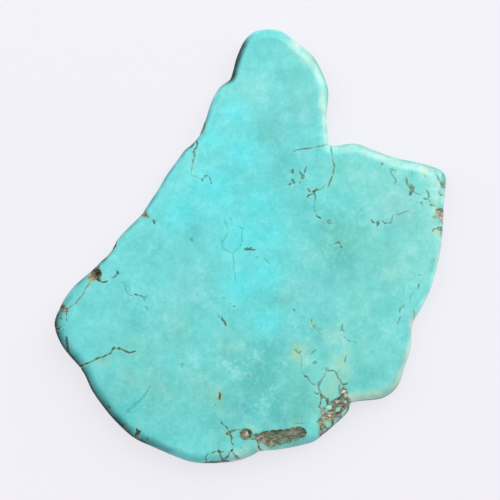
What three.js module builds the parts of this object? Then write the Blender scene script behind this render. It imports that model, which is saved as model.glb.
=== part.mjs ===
// A tumbled slab of turquoise: one natural stone, flat on both faces, with a rounded edge all the way round.
// Millimetres, +Z up. The slab lies flat, and its origin is the middle of its footprint, on the bottom face.
import * as THREE from 'three';

// Driving dimensions.
const THICKNESS = 5;       // face to face
const EDGE_ROUND = 1.9;    // how far in from the outline a face starts to round over
const EDGE_STEPS = 4;      // facets from the middle of the edge up to a face
const SPAN_STEPS = 2;      // straight sides from one outline point to the next

// The outline seen from above, anticlockwise from the tip of the narrow lobe. Points lie close together
// only at a corner, and at the notches where an old crack reaches the edge.
const OUTLINE = [
  // the tip, and the long slanted left side down to the far corner
  [2.9, 36.1], [0.9, 35.8], [-0.4, 34.9], [-1.3, 33.7], [-2.4, 31.1], [-3.3, 27.9], [-3.8, 27.4],
  [-4.7, 26.8], [-5.5, 25.9], [-6.3, 24.5], [-6.9, 22.9], [-7.4, 21.2], [-8.1, 19.6], [-8.5, 18.4],
  [-9.4, 17.3], [-10.1, 16.7], [-10.9, 16.0], [-12.3, 14.1], [-13.9, 11.9], [-15.2, 9.7], [-16.5, 7.7],
  [-17.6, 6.0], [-18.2, 5.2], [-19.9, 3.5], [-21.7, 1.6], [-22.9, 0.0], [-23.3, -1.0], [-23.8, -1.6],
  [-24.8, -2.5], [-25.5, -3.2], [-27.4, -4.9], [-29.4, -6.7], [-30.9, -8.7], [-31.9, -10.6],
  // the left corner, and the long curve under it
  [-32.5, -12.1], [-32.6, -13.1], [-32.4, -14.2], [-31.5, -16.3], [-30.3, -18.0], [-28.7, -19.8],
  [-27.6, -21.4], [-26.5, -23.8], [-25.1, -25.9], [-23.4, -28.1], [-21.7, -29.9], [-19.4, -31.9],
  [-16.7, -33.2], [-13.5, -34.6], [-10.9, -35.6], [-8.4, -36.1], [-3.8, -36.0], [-1.4, -35.5],
  [0.5, -34.7], [1.4, -34.2], [1.9, -34.1], [3.0, -34.0], [6.2, -33.6], [9.0, -33.0], [10.4, -32.6],
  [12.2, -31.3], [14.2, -29.6], [15.9, -28.0],
  // the step at the foot, and the right side up to its corner
  [16.5, -27.1], [16.6, -26.3], [17.1, -26.0], [19.2, -25.7], [21.6, -25.4], [23.5, -24.4],
  [24.8, -22.7], [25.7, -20.0], [26.5, -17.7], [26.8, -15.7], [26.8, -14.0], [27.2, -12.5],
  [28.1, -10.9], [29.2, -8.9], [30.2, -6.4], [31.0, -3.7], [31.7, -0.3], [32.1, 3.5], [32.2, 6.6],
  [32.5, 9.7], [32.6, 11.3], [32.2, 12.3], [31.2, 12.9],
  // the right shoulder, the deep notch, and the lobe's right side
  [29.5, 13.5], [26.6, 14.2], [24.5, 14.6], [22.1, 15.4], [20.0, 16.2], [18.3, 16.9], [17.1, 17.1],
  [15.1, 16.9], [13.5, 16.8], [13.1, 17.0], [13.0, 18.1], [12.7, 21.4], [12.9, 24.0], [13.0, 25.7],
  [12.4, 27.9], [11.4, 30.1], [10.3, 31.8], [8.9, 33.0], [7.7, 33.9], [6.6, 34.8], [5.1, 35.8],
];

// The outline as a ring of points at mid height, on a smooth curve through OUTLINE.
function outlineRing() {
  const points = OUTLINE.map(([x, y]) => new THREE.Vector3(x, y, 0));
  const curve = new THREE.CatmullRomCurve3(points, true, 'centripetal');
  return curve.getPoints(points.length * SPAN_STEPS).slice(0, -1);
}

// For each point of the ring, the way in from the edge. It is averaged over the stretch of edge within
// EDGE_ROUND, so that points moved in by that much don't cross at a corner.
function inwardDirections(ring) {
  const sides = ring.map((point, i) => {
    const before = ring.at(i - 1);
    const after = ring[(i + 1) % ring.length];
    return new THREE.Vector3(before.y - after.y, after.x - before.x, 0);
  });
  return ring.map((point) => {
    const sum = new THREE.Vector3();
    let total = 0;
    ring.forEach((other, j) => {
      const weight = Math.max(0, 1 - point.distanceTo(other) / EDGE_ROUND);
      sum.addScaledVector(sides[j], weight);
      total += weight * sides[j].length();
    });
    return sum.divideScalar(total);
  });
}

// The slab as rings of the same points, one above another: half an ellipse from face to face.
function slabGeometry() {
  const ring = outlineRing();
  const inward = inwardDirections(ring);
  const count = ring.length;
  const positions = [];
  for (let step = -EDGE_STEPS; step <= EDGE_STEPS; step += 1) {
    const angle = (step / EDGE_STEPS) * (Math.PI / 2);
    const inset = EDGE_ROUND * (1 - Math.cos(angle));
    const height = (THICKNESS / 2) * (1 + Math.sin(angle));
    ring.forEach((point, i) => {
      positions.push(point.x + inward[i].x * inset, point.y + inward[i].y * inset, height);
    });
  }

  const index = [];
  for (let level = 0; level < 2 * EDGE_STEPS; level += 1) {
    for (let i = 0; i < count; i += 1) {
      const here = level * count + i;
      const next = level * count + ((i + 1) % count);
      index.push(here, next, next + count);
      index.push(here, next + count, here + count);
    }
  }

  const face = ring.map((point, i) => new THREE.Vector2(
    point.x + inward[i].x * EDGE_ROUND,
    point.y + inward[i].y * EDGE_ROUND,
  ));
  const top = 2 * EDGE_STEPS * count;
  THREE.ShapeUtils.triangulateShape(face, []).forEach(([a, b, c]) => {
    index.push(a + top, b + top, c + top);
    index.push(c, b, a);
  });

  const geometry = new THREE.BufferGeometry();
  geometry.setAttribute('position', new THREE.Float32BufferAttribute(positions, 3));
  geometry.setIndex(index);
  geometry.computeVertexNormals();
  return geometry;
}

const turquoise = new THREE.MeshStandardMaterial({ color: 0x7bd9d6, roughness: 0.35, metalness: 0 });

const slab = new THREE.Mesh(slabGeometry(), turquoise);
slab.name = 'turquoise_slab';

const group = new THREE.Group();
group.add(slab);

export default group;
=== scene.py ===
# A tumbled slab of turquoise lying on a pale floor: the looks around the imported model.
#
# The node turquoise_slab gives the outline and the thickness. On them this script builds the slab's fine
# surface: one closed mesh with a rounded edge, with the cracks, the veins and the matrix cut into it. Each
# vertex also carries how far it is from a vein and from a patch of matrix, the stone's slow changes of
# colour, and painted highlights and painted shade along the edge and in the pit, and the material is drawn
# from these and from noise.
#
# Places on the stone were read on the photograph, in its pixels, with x to the right and y down. The
# front shows them where the camera sees each of its points, and the back where they lie seen from above.
# Every size is in millimetres until a mesh, a light or the camera is made, in metres.
import math

import bpy
import numpy as np
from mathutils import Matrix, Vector, geometry
from mathutils.bvhtree import BVHTree


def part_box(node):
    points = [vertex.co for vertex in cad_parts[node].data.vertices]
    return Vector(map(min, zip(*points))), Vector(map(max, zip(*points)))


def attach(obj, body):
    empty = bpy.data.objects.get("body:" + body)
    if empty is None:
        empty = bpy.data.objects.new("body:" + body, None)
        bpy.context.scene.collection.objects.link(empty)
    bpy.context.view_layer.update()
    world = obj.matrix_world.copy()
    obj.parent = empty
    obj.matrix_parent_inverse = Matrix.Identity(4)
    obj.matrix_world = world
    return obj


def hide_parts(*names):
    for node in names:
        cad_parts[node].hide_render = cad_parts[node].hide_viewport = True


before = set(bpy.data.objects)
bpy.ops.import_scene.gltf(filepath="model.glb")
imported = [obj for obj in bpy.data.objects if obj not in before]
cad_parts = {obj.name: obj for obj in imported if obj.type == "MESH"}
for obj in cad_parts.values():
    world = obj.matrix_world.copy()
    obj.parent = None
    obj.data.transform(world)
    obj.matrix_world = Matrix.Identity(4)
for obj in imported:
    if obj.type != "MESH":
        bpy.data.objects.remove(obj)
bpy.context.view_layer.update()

NODE = "turquoise_slab"
MM = 0.001

# The photograph's frame.
PIXELS_PER_MM = 6.0
ORIGIN_PIXEL = (250.4, 246.2)      # where the part's origin shows
IMAGE_CENTRE_PIXEL = (250.0, 250.0)
IMAGE_PIXELS = 500
LENS = 100
SENSOR = 36
CAMERA_DISTANCE = IMAGE_PIXELS / PIXELS_PER_MM * LENS / SENSOR     # from the middle of the slab's edge, mm

# The slab, from the frame.
LOWEST, HIGHEST = (np.array(corner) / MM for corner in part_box(NODE))
HALF_THICKNESS = (HIGHEST[2] - LOWEST[2]) / 2

# The edge, and how fine the mesh is.
EDGE_ROUND = 1.9                   # how far in from the outline a face starts to round over
EDGE_ROUND_CHANGE = 0.18           # the share by which that changes round the slab
EDGE_RINGS = 10                    # rings of vertices from the outline up to a face
RING_CLEAR = 0.93                  # a ring's point nearer to the outline than this share of its inset goes
OUTLINE_STEP = 0.08                # between points of the outline where a vein crosses it
OUTLINE_SKIP = 4                   # elsewhere only one point in this many is kept
OUTLINE_CLEAR = 0.12               # no vertex of the lattice lies closer to the outline
LATTICE_STEP = 1.28                # between vertices of the bare faces
LATTICE_REACH = 2.4                # how far its slanting rows run, in half heights of the slab
LATTICE_HALVINGS = 4               # how often it is halved close to a vein
HALVING_REACH = 1.15               # how close that is, in steps of the lattice
FLAT_CLEAR = 0.15                  # the bare lattice starts this far in from the rounded edge
NEAR_DETAIL = 0.16                 # within this of a vein the mesh is at its finest
FAINT_INK = 0.4                    # a vein with less ink than this needs no mesh that fine

# How deep the relief is.
WAVE_HEIGHT = 0.035                # the slow unevenness of the polished faces
WAVE_SINK = 1.3                    # how far below the node's flat faces its middle lies, in those heights
VEIN_DEPTH = 0.17                  # a vein with full ink
HAIRLINE_DEPTH = 0.02              # one with none
GROOVE_SIDE = (0.05, -0.14)        # where a vein's side starts, outside its edge, and ends, inside it
HOLLOW_SIDE = (0.06, -0.2)         # the same for a patch of matrix
HOLLOW_LEAN = 0.5                  # how much further in a patch's side ends for each mm of its depth

# How ragged the markings are.
VEIN_STEP = 0.25                   # between points along a vein
VEIN_STRAY = 0.055                 # how far a vein wanders from side to side
VEIN_SWELL = 0.3                   # the share by which its width changes
VEIN_WOBBLE = 0.03                 # how uneven its sides are
TIP_SHARE = 0.55                   # how wide its tips are, as a share of its width
TIP_LENGTH = 0.5                   # how far from a tip it has its full width
PATCH_STEP = 0.3                   # between points round a patch of matrix
PATCH_RAGGED = 0.05                # how uneven a patch's side is
PATCH_ROUGH = 0.035                # the same, in smaller hills
ISLAND_RAGGED = 0.07               # how uneven an island's side is
SPOT_FALLOFF = 1.2                 # a larger number makes the soft spots below fade more quickly

# How the markings go on below the front: they stray sideways on their way down the edge, and inside the slab
# on the way to its back.
EDGE_STRAY = 0.8
EDGE_STRAY_SIZE = 10               # the size of the hills in which they stray
BACK_STRAY = 2.6
BACK_STRAY_SIZE = 16
BACK_STRAY_RUN = 7                 # from this far in from the outline they stray the most
BACK_FADE = 0.75                   # the share by which the edge's colours, painted highlights and painted shade fade towards the back face

# The edge's own colours, its grime, and the painted highlights and painted shade on it.
BAND_BLUR = 0.12                   # how softly a colour starts, to each side
PATCHY = 0.93                      # how strong they are on average
PATCHY_CHANGE = 0.14               # how much that changes from place to place

# Veins and cracks: (width in mm, ink from 0 to 1, rust from 0 for black to 1 for brown, pixels along it).
# A very short one is a spot. These reach the edge, so they run on over it to the back.
EDGE_VEINS = {
    "cracks from the deep notch": [
        (0.22, 0.64, 0.7, [(327.5, 144.6), (320, 146.5), (310, 148.5), (301, 149.5), (293.4, 151.8)]),
        (0.33, 0.55, 0.6, [(330.6, 146), (330.9, 149), (331.4, 152)]),
        (0.24, 0.62, 0.7, [(331.4, 152), (332.6, 158.2), (334, 166.4), (333.1, 174.5), (330.4, 181),
                           (328, 187.5)]),
        (0.2, 0.3, 0.3, [(328.6, 93.8), (325.6, 94.6), (322, 95.6)]),
    ],
    "stained right corner": [
        (0.3, 0.46, 1, [(434.2, 173.6), (436.4, 174.4), (437.6, 176), (438.2, 178.4), (439.6, 180.4)]),
        (0.42, 0.62, 0.5, [(437.4, 175.6), (438, 177.6)]),
        (0.3, 0.46, 1, [(439.6, 180.4), (441, 183), (441.8, 185.4), (443.6, 187.6)]),
        (0.7, 0.6, 1, [(441.8, 184), (443.6, 186)]),
        (0.34, 0.8, 0.7, [(442.6, 184.4), (443.4, 185.6)]),
        (0.34, 0.42, 0.6, [(442.6, 172.6), (443.8, 176), (444.4, 180), (444.6, 183.4)]),
        (0.6, 0.25, 0.6, [(443.4, 176.6), (444.4, 181)]),
        (0.25, 0.36, 1, [(428.4, 170.4), (431.6, 171.4), (435, 171.2), (438, 171.8)]),
        (0.24, 0.5, 0.3, [(438.6, 190.4), (438.7, 192.4), (439.8, 194.2), (441.6, 195), (443.4, 194.6),
                          (444.6, 193)]),
        (0.4, 0.66, 0.6, [(432.6, 231.2), (433.6, 229.8), (435.2, 228.8)]),
        (0.28, 0.4, 0.6, [(434.6, 229), (437.2, 228.6)]),
        (0.5, 0.62, 0.9, [(438.2, 228.4), (439.8, 229.4), (441, 229)]),
        (0.4, 0.72, 0.6, [(440, 227.4), (440.6, 230.4)]),
        (0.28, 0.4, 0.7, [(440, 231), (440.2, 233.6), (439.8, 236.8)]),
    ],
    "right side": [
        (0.25, 0.32, 0.8, [(412.8, 309.5), (414.3, 312), (413.8, 316), (412.4, 320)]),
        (0.25, 0.14, 0.8, [(419, 312.5), (415.5, 319), (413, 323), (412, 327), (410.8, 331), (411.4, 335)]),
    ],
    "lower edge": [
        (0.26, 0.78, 0.4, [(231.4, 451.4), (229.2, 453), (228.6, 455.4), (226.4, 457.8), (223.4, 460.4)]),
        (0.24, 0.6, 0.3, [(232, 451.6), (233.6, 453.8), (235, 455.4), (236.8, 457), (240.4, 458.8)]),
        (0.42, 0.5, 0.3, [(236.4, 456.6), (237.4, 457.4)]),
        (0.23, 0.68, 0.3, [(206.4, 461.4), (206.2, 458), (207.1, 455.5), (210.7, 453.4), (214.3, 452.6),
                          (218.4, 452)]),
        (0.32, 0.82, 0.6, [(219.8, 452.6), (220.7, 455.1), (221.4, 457.6), (223.4, 460.6)]),
        (0.4, 0.76, 0.5, [(206.5, 461.8), (214, 462), (221, 461.6), (229, 461)]),
        (0.2, 0.4, 0.3, [(239, 459.8), (246, 458.2), (253, 456)]),
        (0.34, 0.9, 0.8, [(256.9, 440.4), (258.4, 443.6), (258.9, 447.3), (260.6, 450.8)]),
        (0.5, 0.92, 0.3, [(140, 430.8), (138.2, 432.2), (137.2, 434.2), (136, 437.6)]),
        (0.36, 0.85, 0.3, [(136.8, 429.6), (137.4, 431.2), (138, 432.4)]),
        (0.3, 0.7, 0.5, [(138, 433), (139.4, 434.6)]),
        (0.4, 0.5, 1, [(136.4, 437), (138.2, 438)]),
        (0.34, 0.6, 0.1, [(147, 438.8), (148, 439.6)]),
        (0.32, 0.5, 0.8, [(126.2, 428), (127, 429)]),
        (0.3, 0.6, 0.1, [(108.6, 405.8), (109.8, 407.6)]),
        (0.26, 0.45, 0.1, [(103, 400.6), (104, 402)]),
    ],
    "left corner": [
        (0.23, 0.52, 0.8, [(89.8, 281.4), (88.6, 284.4), (85.6, 288.7), (83.3, 294.2), (78.3, 300.3),
                           (73.3, 304.8), (66.7, 309.2)]),
        (0.3, 0.75, 0.3, [(66.2, 312.4), (66.9, 315.8)]),
        (0.3, 0.55, 0.2, [(66.4, 319), (66.6, 320.4)]),
        (0.5, 1, 0.4, [(78.4, 366.6), (82, 365.4)]),
        (0.27, 0.78, 0.5, [(82, 365.4), (84.4, 364.8), (88.9, 362.6), (94.4, 360.3), (100, 357.6),
                           (105.6, 355.9), (110.6, 353.1), (113.9, 348.7), (118.9, 348.7),
                           (122.2, 349.8), (125.8, 351.2), (128, 352.6), (131.5, 352.4), (135.4, 351.2)]),
        (0.36, 0.7, 0.3, [(104, 356.4), (106.2, 355.6)]),
        (0.36, 0.85, 0.3, [(109.4, 353.8), (110.8, 352.8)]),
        (0.35, 0.76, 0.2, [(66.6, 337), (66.8, 342), (67.4, 347), (69.4, 352)]),
        (0.4, 1, 0.6, [(56.4, 329), (58.6, 328.6)]),
        (0.32, 0.5, 0.3, [(60.2, 318), (61, 319)]),
        (0.3, 0.45, 0.3, [(59.6, 327.4), (61, 326.8)]),
        (0.32, 0.5, 0.3, [(63, 329.4), (64, 330)]),
    ],
    "upper left edge": [
        (0.43, 0.5, 0.7, [(205, 119), (204.8, 125), (203.8, 130), (200.6, 135)]),
        (0.3, 0.92, 0.5, [(196.3, 139.6), (197.4, 143.5), (197, 146.6), (194.6, 149)]),
        (0.28, 0.8, 0.5, [(189.8, 147.4), (192, 146), (194, 144), (195.6, 142)]),
        (0.26, 0.56, 0.6, [(194.3, 149), (194.3, 153), (194, 157), (193, 161), (192.3, 166)]),
        (0.25, 0.4, 0.9, [(139.4, 218), (142.4, 216.2)]),
        (0.5, 1, 0.4, [(112.2, 250.6), (114, 246.6), (116.6, 241.6)]),
    ],
    "broken matrix at the foot": [
        (0.55, 0.74, 0.2, [(327.4, 399.6), (327.5, 403)]),
        (0.32, 0.74, 0.4, [(320.6, 393.4), (321.2, 398.5), (320.7, 402.9), (319.6, 405.6)]),
        (0.4, 0.5, 1, [(319.4, 406), (318.2, 407.2)]),
        (0.3, 0.55, 0.7, [(319.4, 407.6), (321.6, 409.2)]),
        (0.5, 0.34, 0.2, [(317, 422.6), (318.6, 420.4), (320.6, 418.4)]),
        (0.32, 0.52, 0.2, [(334.4, 400.8), (337, 398.8), (340.4, 397.4)]),
        (0.3, 0.7, 0.2, [(342.6, 393.8), (344.2, 395)]),
        (0.22, 0.6, 0.3, [(339.2, 392.6), (340.6, 394.4), (342.4, 396.4), (345.6, 397.2)]),
        (0.22, 0.5, 0.3, [(345.4, 398.6), (347.2, 401), (348, 404.4)]),
        (0.18, 0.5, 0.5, [(335.6, 406.6), (339, 405.2), (342.2, 403.2), (344.6, 402)]),
        (0.22, 0.45, 0.4, [(332.8, 406), (333, 409.4), (334.6, 411.4), (335, 413.4)]),
        (0.36, 0.75, 0.3, [(337, 413.1), (338.4, 412.7)]),
        (0.24, 0.6, 0.4, [(340.8, 411.2), (342, 408.8), (345, 406.8), (347.6, 405.4)]),
        (0.24, 0.5, 0.4, [(339.8, 413.8), (341.2, 416), (340.2, 418.2), (338.6, 419)]),
        (0.2, 0.28, 0.6, [(323, 416), (326.6, 416.8), (331, 416.4), (334.6, 416.4)]),
        (0.26, 0.15, 0.4, [(332.2, 420.6), (332.8, 422.4), (332.2, 425.2)]),
        (0.22, 0.4, 0.4, [(324.2, 421.4), (323.9, 425), (325.8, 428)]),
        (0.2, 0.35, 0.6, [(321.4, 423.4), (321.2, 427), (322.4, 431.6)]),
    ],
}

# Veins that show on the front face only.
FRONT_VEINS = {
    "marks left of the notch": [
        (0.47, 0.6, 0.2, [(292.4, 170.8), (292.7, 172.2)]),
        (0.2, 0.25, 0.2, [(292.7, 172.5), (293, 176)]),
        (0.5, 0.74, 0.4, [(293.3, 181), (294, 182.8)]),
        (0.32, 0.55, 0.2, [(292.6, 182.8), (291, 183.8), (288.8, 184.8)]),
        (0.42, 0.72, 0.3, [(300, 171.6), (302, 174.6), (304.8, 176)]),
        (0.5, 0.5, 0.7, [(303.4, 176.4), (302.2, 178.4)]),
        (0.32, 0.5, 0.1, [(303.6, 174.4), (304.8, 171.5), (305.6, 169), (306.5, 166.6)]),
        (0.25, 0.4, 0.4, [(301.4, 179.8), (299.8, 183), (299.5, 186.5)]),
    ],
    "dark star and the vein under it": [
        (0.4, 0.56, 0.2, [(308.3, 189.4), (309.2, 190.8)]),
        (0.3, 0.72, 0.7, [(308.4, 190), (310.6, 191.6), (313, 192.3)]),
        (0.58, 0.88, 0.5, [(313, 191.2), (313.4, 194)]),
        (0.35, 0.68, 0.4, [(313.5, 191.8), (315.2, 190.4), (317.4, 189.5), (319.4, 189.8)]),
        (0.35, 0.96, 0.5, [(313, 193.6), (311, 194.6), (309, 195.4), (307.2, 197.5)]),
        (0.36, 0.6, 0.3, [(314, 193.6), (315.8, 196.3), (315.8, 199)]),
        (0.22, 0.33, 0.2, [(315, 199.3), (314.5, 204), (314.3, 209), (314.9, 212), (316.2, 215)]),
        (0.36, 0.72, 0.3, [(316.6, 215.6), (318.5, 216.8), (321, 218.4)]),
        (0.32, 0.42, 0.95, [(326.8, 221.4), (329, 220.4), (331.4, 221.8), (329.2, 223.2), (327, 222)]),
        (0.3, 0.6, 0.5, [(334.8, 244.6), (336.4, 243), (338.3, 242), (340, 243.4), (340.8, 245.4)]),
        (0.3, 0.5, 0.2, [(340.8, 247), (341.6, 247.8)]),
        (0.4, 0.18, 0, [(320, 189.4), (323, 187.2), (325, 184.5)]),
    ],
    "right shoulder": [
        (0.4, 0.5, 0.4, [(381.6, 163.2), (382.4, 164.2)]),
        (0.23, 0.42, 0.8, [(388.8, 169.5), (391.3, 169.3), (394, 170.5), (397, 171.7)]),
        (0.22, 0.46, 0.5, [(390.3, 170.5), (391.8, 174.5), (394.5, 178.3), (396, 179.8), (394.8, 185)]),
        (0.28, 0.66, 0.9, [(404.6, 176.4), (405.7, 178.3), (406.4, 180.6), (406.9, 182.5), (408.4, 184.4),
                           (409.6, 185.4)]),
        (0.7, 0.4, 1, [(410.2, 185.4), (411.6, 186.6)]),
        (0.8, 0.6, 0.8, [(411, 187), (412.5, 189.6)]),
        (0.34, 0.8, 0.4, [(411.6, 189.2), (412.8, 190)]),
        (0.5, 0.7, 0.2, [(411.4, 191.4), (410.6, 194)]),
        (0.25, 0.46, 0.3, [(413, 191), (415, 193), (417, 194), (419.6, 195)]),
        (0.25, 0.62, 0.3, [(413.4, 188.4), (414.8, 186.6)]),
        (0.26, 0.6, 0.5, [(425.2, 190.6), (427.4, 191.1), (428.7, 192.8), (428.7, 196.4), (427.9, 198.6)]),
        (0.42, 0.6, 0.4, [(423.8, 198.2), (425.6, 199.2)]),
        (0.33, 0.5, 0.9, [(425.8, 199.4), (428, 199.6)]),
        (0.22, 0.2, 0.5, [(428.2, 199.8), (429.8, 202.1), (431.2, 204.2)]),
        (0.45, 0.7, 0.6, [(431.2, 204.6), (433, 205)]),
        (0.28, 0.34, 0.8, [(433, 205), (435.8, 205.2), (437.4, 208)]),
        (0.42, 0.5, 0.5, [(420.8, 202.6), (422, 203.2)]),
        (0.25, 0.5, 0.6, [(422, 203.2), (422.4, 206)]),
        (0.3, 0.28, 0.9, [(424.9, 174.6), (425.8, 176.6)]),
        (0.3, 0.18, 0.2, [(412.8, 169), (412, 173), (411.4, 177.4)]),
        (0.26, 0.3, 1, [(416, 167), (417.6, 167.6)]),
        (0.23, 0.66, 0.3, [(412.6, 215.2), (414, 213)]),
        (0.32, 0.7, 0.2, [(371.5, 220), (373, 222), (375.5, 223), (377, 224.8)]),
        (0.5, 0.66, 0.5, [(377.2, 222.8), (377.9, 224)]),
        (0.23, 0.66, 0.5, [(377.8, 224.5), (376.7, 226.8)]),
        (0.25, 0.55, 0.5, [(380.5, 221), (382.5, 221.5), (384.5, 223.2), (387.5, 223.2)]),
        (0.23, 0.4, 0.6, [(387.5, 223.2), (390.5, 223.3), (391.8, 222), (392.5, 218.5), (394, 215),
                          (397.5, 215.5), (400, 214), (404, 212.3), (408.5, 211.2)]),
        (0.37, 0.28, 0.2, [(361.2, 209.3), (362, 211)]),
        (0.3, 0.3, 0.8, [(433.6, 259.6), (434.4, 260.8)]),
        (0.22, 0.4, 0.3, [(419, 274.8), (419.4, 275.4)]),
        (0.35, 0.66, 0.4, [(419.2, 283.8), (418, 288.7)]),
        (0.23, 0.22, 0.2, [(413, 293.5), (410.5, 298), (409.8, 301)]),
        (0.25, 0.4, 0.6, [(405.8, 303), (404, 306), (401.5, 308.5), (399.8, 310), (399.5, 312.5)]),
        (0.28, 0.6, 0.3, [(400.9, 316.4), (399.3, 319.5), (397.8, 323.6)]),
    ],
    "middle": [
        (0.47, 0.78, 0.35, [(244.6, 249.4), (247, 249.5), (250, 249.2), (252.5, 249.8), (254.6, 250)]),
        (0.37, 0.9, 0.2, [(250.8, 248.4), (251.4, 247.4)]),
        (0.26, 0.18, 0, [(223.2, 218.4), (225.2, 222.4), (227.2, 227), (227, 232), (225.8, 236.4),
                         (223.2, 241), (222.2, 245), (223.4, 248.4), (228, 251), (232.4, 253.7)]),
        (0.26, 0.18, 0, [(232.4, 253.7), (235.4, 250.8), (238.6, 248.4), (240.6, 245.6), (241.9, 240),
                         (241.8, 234), (242.2, 229.8), (240.5, 228), (237, 226)]),
        (0.3, 0.35, 0, [(242.2, 231), (242.2, 229.5), (244.5, 228.2)]),
        (0.27, 0.17, 0, [(232.4, 253.7), (233.6, 258), (233.3, 265), (234, 271), (235, 276), (236.2, 285)]),
        (0.24, 0.12, 0, [(230, 216.6), (231.2, 220), (231.7, 223.6)]),
        (0.27, 0.17, 0, [(263.4, 258.6), (266.8, 260.8), (270, 264.6)]),
        (0.27, 0.2, 0, [(255.6, 256.8), (258.8, 257.3)]),
        (0.24, 0.2, 0, [(257.2, 255.4), (257.3, 259.2)]),
        (0.42, 0.07, 0, [(277.8, 292), (278.2, 296.6), (274.4, 300.6), (271.8, 304.2), (270, 307.8)]),
        (0.5, 0.68, 0.5, [(221.2, 317), (222.6, 319.6), (224.3, 322.5), (225.6, 325.6)]),
        (0.28, 0.26, 0, [(217.6, 313.6), (219.2, 318)]),
        (0.32, 0.5, 0.1, [(191, 239), (191.7, 239.8)]),
        (0.33, 0.3, 0.1, [(223.7, 297.6), (224.4, 298.6)]),
        (0.33, 0.42, 0, [(234.2, 306), (234.7, 306.6)]),
        (0.37, 0.48, 0.5, [(294, 309.8), (295, 310.8)]),
        (0.42, 0.85, 0.1, [(153.7, 221.6), (154.4, 223)]),
    ],
    "right of the lower middle": [
        (0.32, 0.56, 0.3, [(312.2, 318.4), (311, 321), (311.6, 324.1)]),
        (0.27, 0.58, 0.6, [(311.6, 324.1), (313.6, 326.6), (315.4, 328.8)]),
        (0.2, 0.28, 0.3, [(315.2, 329.2), (318.5, 332), (321, 335.4)]),
        (0.2, 0.25, 0.6, [(313.5, 323.6), (317.5, 327), (319.5, 330), (323.5, 329)]),
        (0.25, 0.4, 0.3, [(341.6, 323.6), (341.8, 328.6), (343, 330.6), (344.6, 332.4)]),
        (0.23, 0.38, 0.3, [(341.6, 329.4), (338.4, 331.6)]),
        (0.2, 0.2, 0.3, [(344.6, 333.2), (345, 337.3), (346, 340)]),
        (0.25, 0.48, 0.3, [(346, 340), (348, 340.6), (349.2, 342), (351, 341.6)]),
        (0.2, 0.18, 0.1, [(351, 341.7), (355, 342), (357.5, 345)]),
        (0.4, 0.38, 0.6, [(295.6, 350), (297, 351.8)]),
        (0.37, 0.4, 0.6, [(298.6, 353), (300.6, 352.2)]),
        (0.22, 0.25, 0.6, [(300.4, 354), (301.6, 357.6), (301, 362), (301.4, 366), (300.6, 370)]),
        (0.2, 0.2, 0.2, [(300.6, 370), (303, 373.6), (305.6, 376.4)]),
        (0.43, 0.7, 0.4, [(305.4, 376.4), (306.8, 377.4)]),
        (0.32, 0.5, 0.85, [(307, 377.8), (308.4, 379.6), (310.2, 381.8)]),
        (0.25, 0.33, 0.6, [(310.2, 381.8), (313.6, 384.8), (317.4, 385.6)]),
        (0.27, 0.4, 0.3, [(311, 354.6), (312.6, 352.2), (315.2, 350)]),
        (0.5, 0.42, 0.4, [(314, 363), (316, 362.4)]),
        (0.33, 0.5, 0.2, [(346.2, 355), (345.4, 358.8), (345.2, 362.2)]),
    ],
    "oval ring": [
        (0.42, 0.42, 0.9, [(325.9, 368.2), (327.4, 369.8), (330, 370.6)]),
        (0.3, 0.6, 0.5, [(330, 370.3), (333, 370.8), (335.5, 372.4), (337.7, 376.8), (340.1, 381.6)]),
        (0.27, 0.42, 0.6, [(340.3, 381), (340, 384), (339.2, 387), (339.2, 390), (339.6, 394)]),
        (0.22, 0.5, 0.2, [(326.4, 370.8), (326.2, 373), (323.8, 377.2), (321, 380.8)]),
        (0.36, 0.68, 0.4, [(321.4, 380.4), (318.8, 384.8), (318.9, 388.5), (320.2, 392.8)]),
        (0.62, 0.5, 0.5, [(318.9, 383.6), (318.6, 385.6)]),
        (0.5, 0.6, 0.8, [(319.4, 390.4), (320.2, 392)]),
        (0.44, 0.6, 0.6, [(320.4, 392.8), (322, 395.6), (324.6, 397.8), (326.8, 400)]),
        (0.3, 0.66, 0.3, [(314.2, 392.4), (315.8, 393.8), (317.8, 394.2), (320.4, 392.6)]),
        (0.3, 0.68, 0.2, [(340.2, 382.4), (342, 384), (344.1, 384.6), (346.4, 384.2), (347.9, 382.4)]),
        (0.28, 0.6, 0.3, [(343.7, 384.8), (343.4, 387.4), (345.2, 389.4), (346.9, 391.2), (347.8, 394)]),
        (0.25, 0.5, 0.5, [(343.4, 387.6), (341.6, 390.2), (339.8, 392.3)]),
        (0.5, 0.38, 0.9, [(339.6, 379.6), (340.4, 381.8)]),
        (0.23, 0.26, 0.1, [(336, 373), (338.5, 371), (340, 369)]),
        (0.3, 0.4, 1, [(248, 375.8), (248.6, 376.8)]),
    ],
    "lower middle": [
        (0.27, 0.64, 0.2, [(220.5, 421), (222, 423.6), (224.6, 425.6), (226.8, 427.8), (228.2, 431)]),
        (0.55, 0.74, 0.85, [(226.8, 433.8), (229.6, 432.6)]),
        (0.27, 0.6, 0.3, [(229.8, 432), (231.6, 431.2), (234.4, 430.8), (236, 429.8), (239.8, 429.6)]),
        (0.42, 0.5, 0.4, [(231.2, 431), (232, 431.8)]),
        (0.27, 0.84, 0.3, [(229.6, 433.4), (230.8, 435.4), (231.5, 438.8), (231.4, 443), (233.2, 446.2),
                           (232.8, 448.6), (231.7, 451)]),
        (0.57, 1, 0.3, [(231.4, 450.6), (232.2, 449.4)]),
        (0.6, 0.82, 0.5, [(218.6, 451.2), (220.2, 452.8)]),
        (0.3, 0.78, 0.8, [(220.4, 452), (223, 451.9)]),
        (0.2, 0.3, 0.2, [(216.5, 446.2), (218.4, 449), (219, 450.8)]),
        (0.3, 0.8, 0.9, [(251, 438.8), (254, 439.8), (256.9, 441)]),
        (0.34, 0.5, 0.7, [(252, 433.4), (252.8, 436.4), (254.6, 438.6)]),
        (0.5, 0.74, 0.2, [(247.1, 429.6), (249.4, 431.2), (250.8, 433.6), (251.1, 436.8)]),
        (0.3, 0.25, 0.9, [(240.6, 448.6), (241.6, 448)]),
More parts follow.
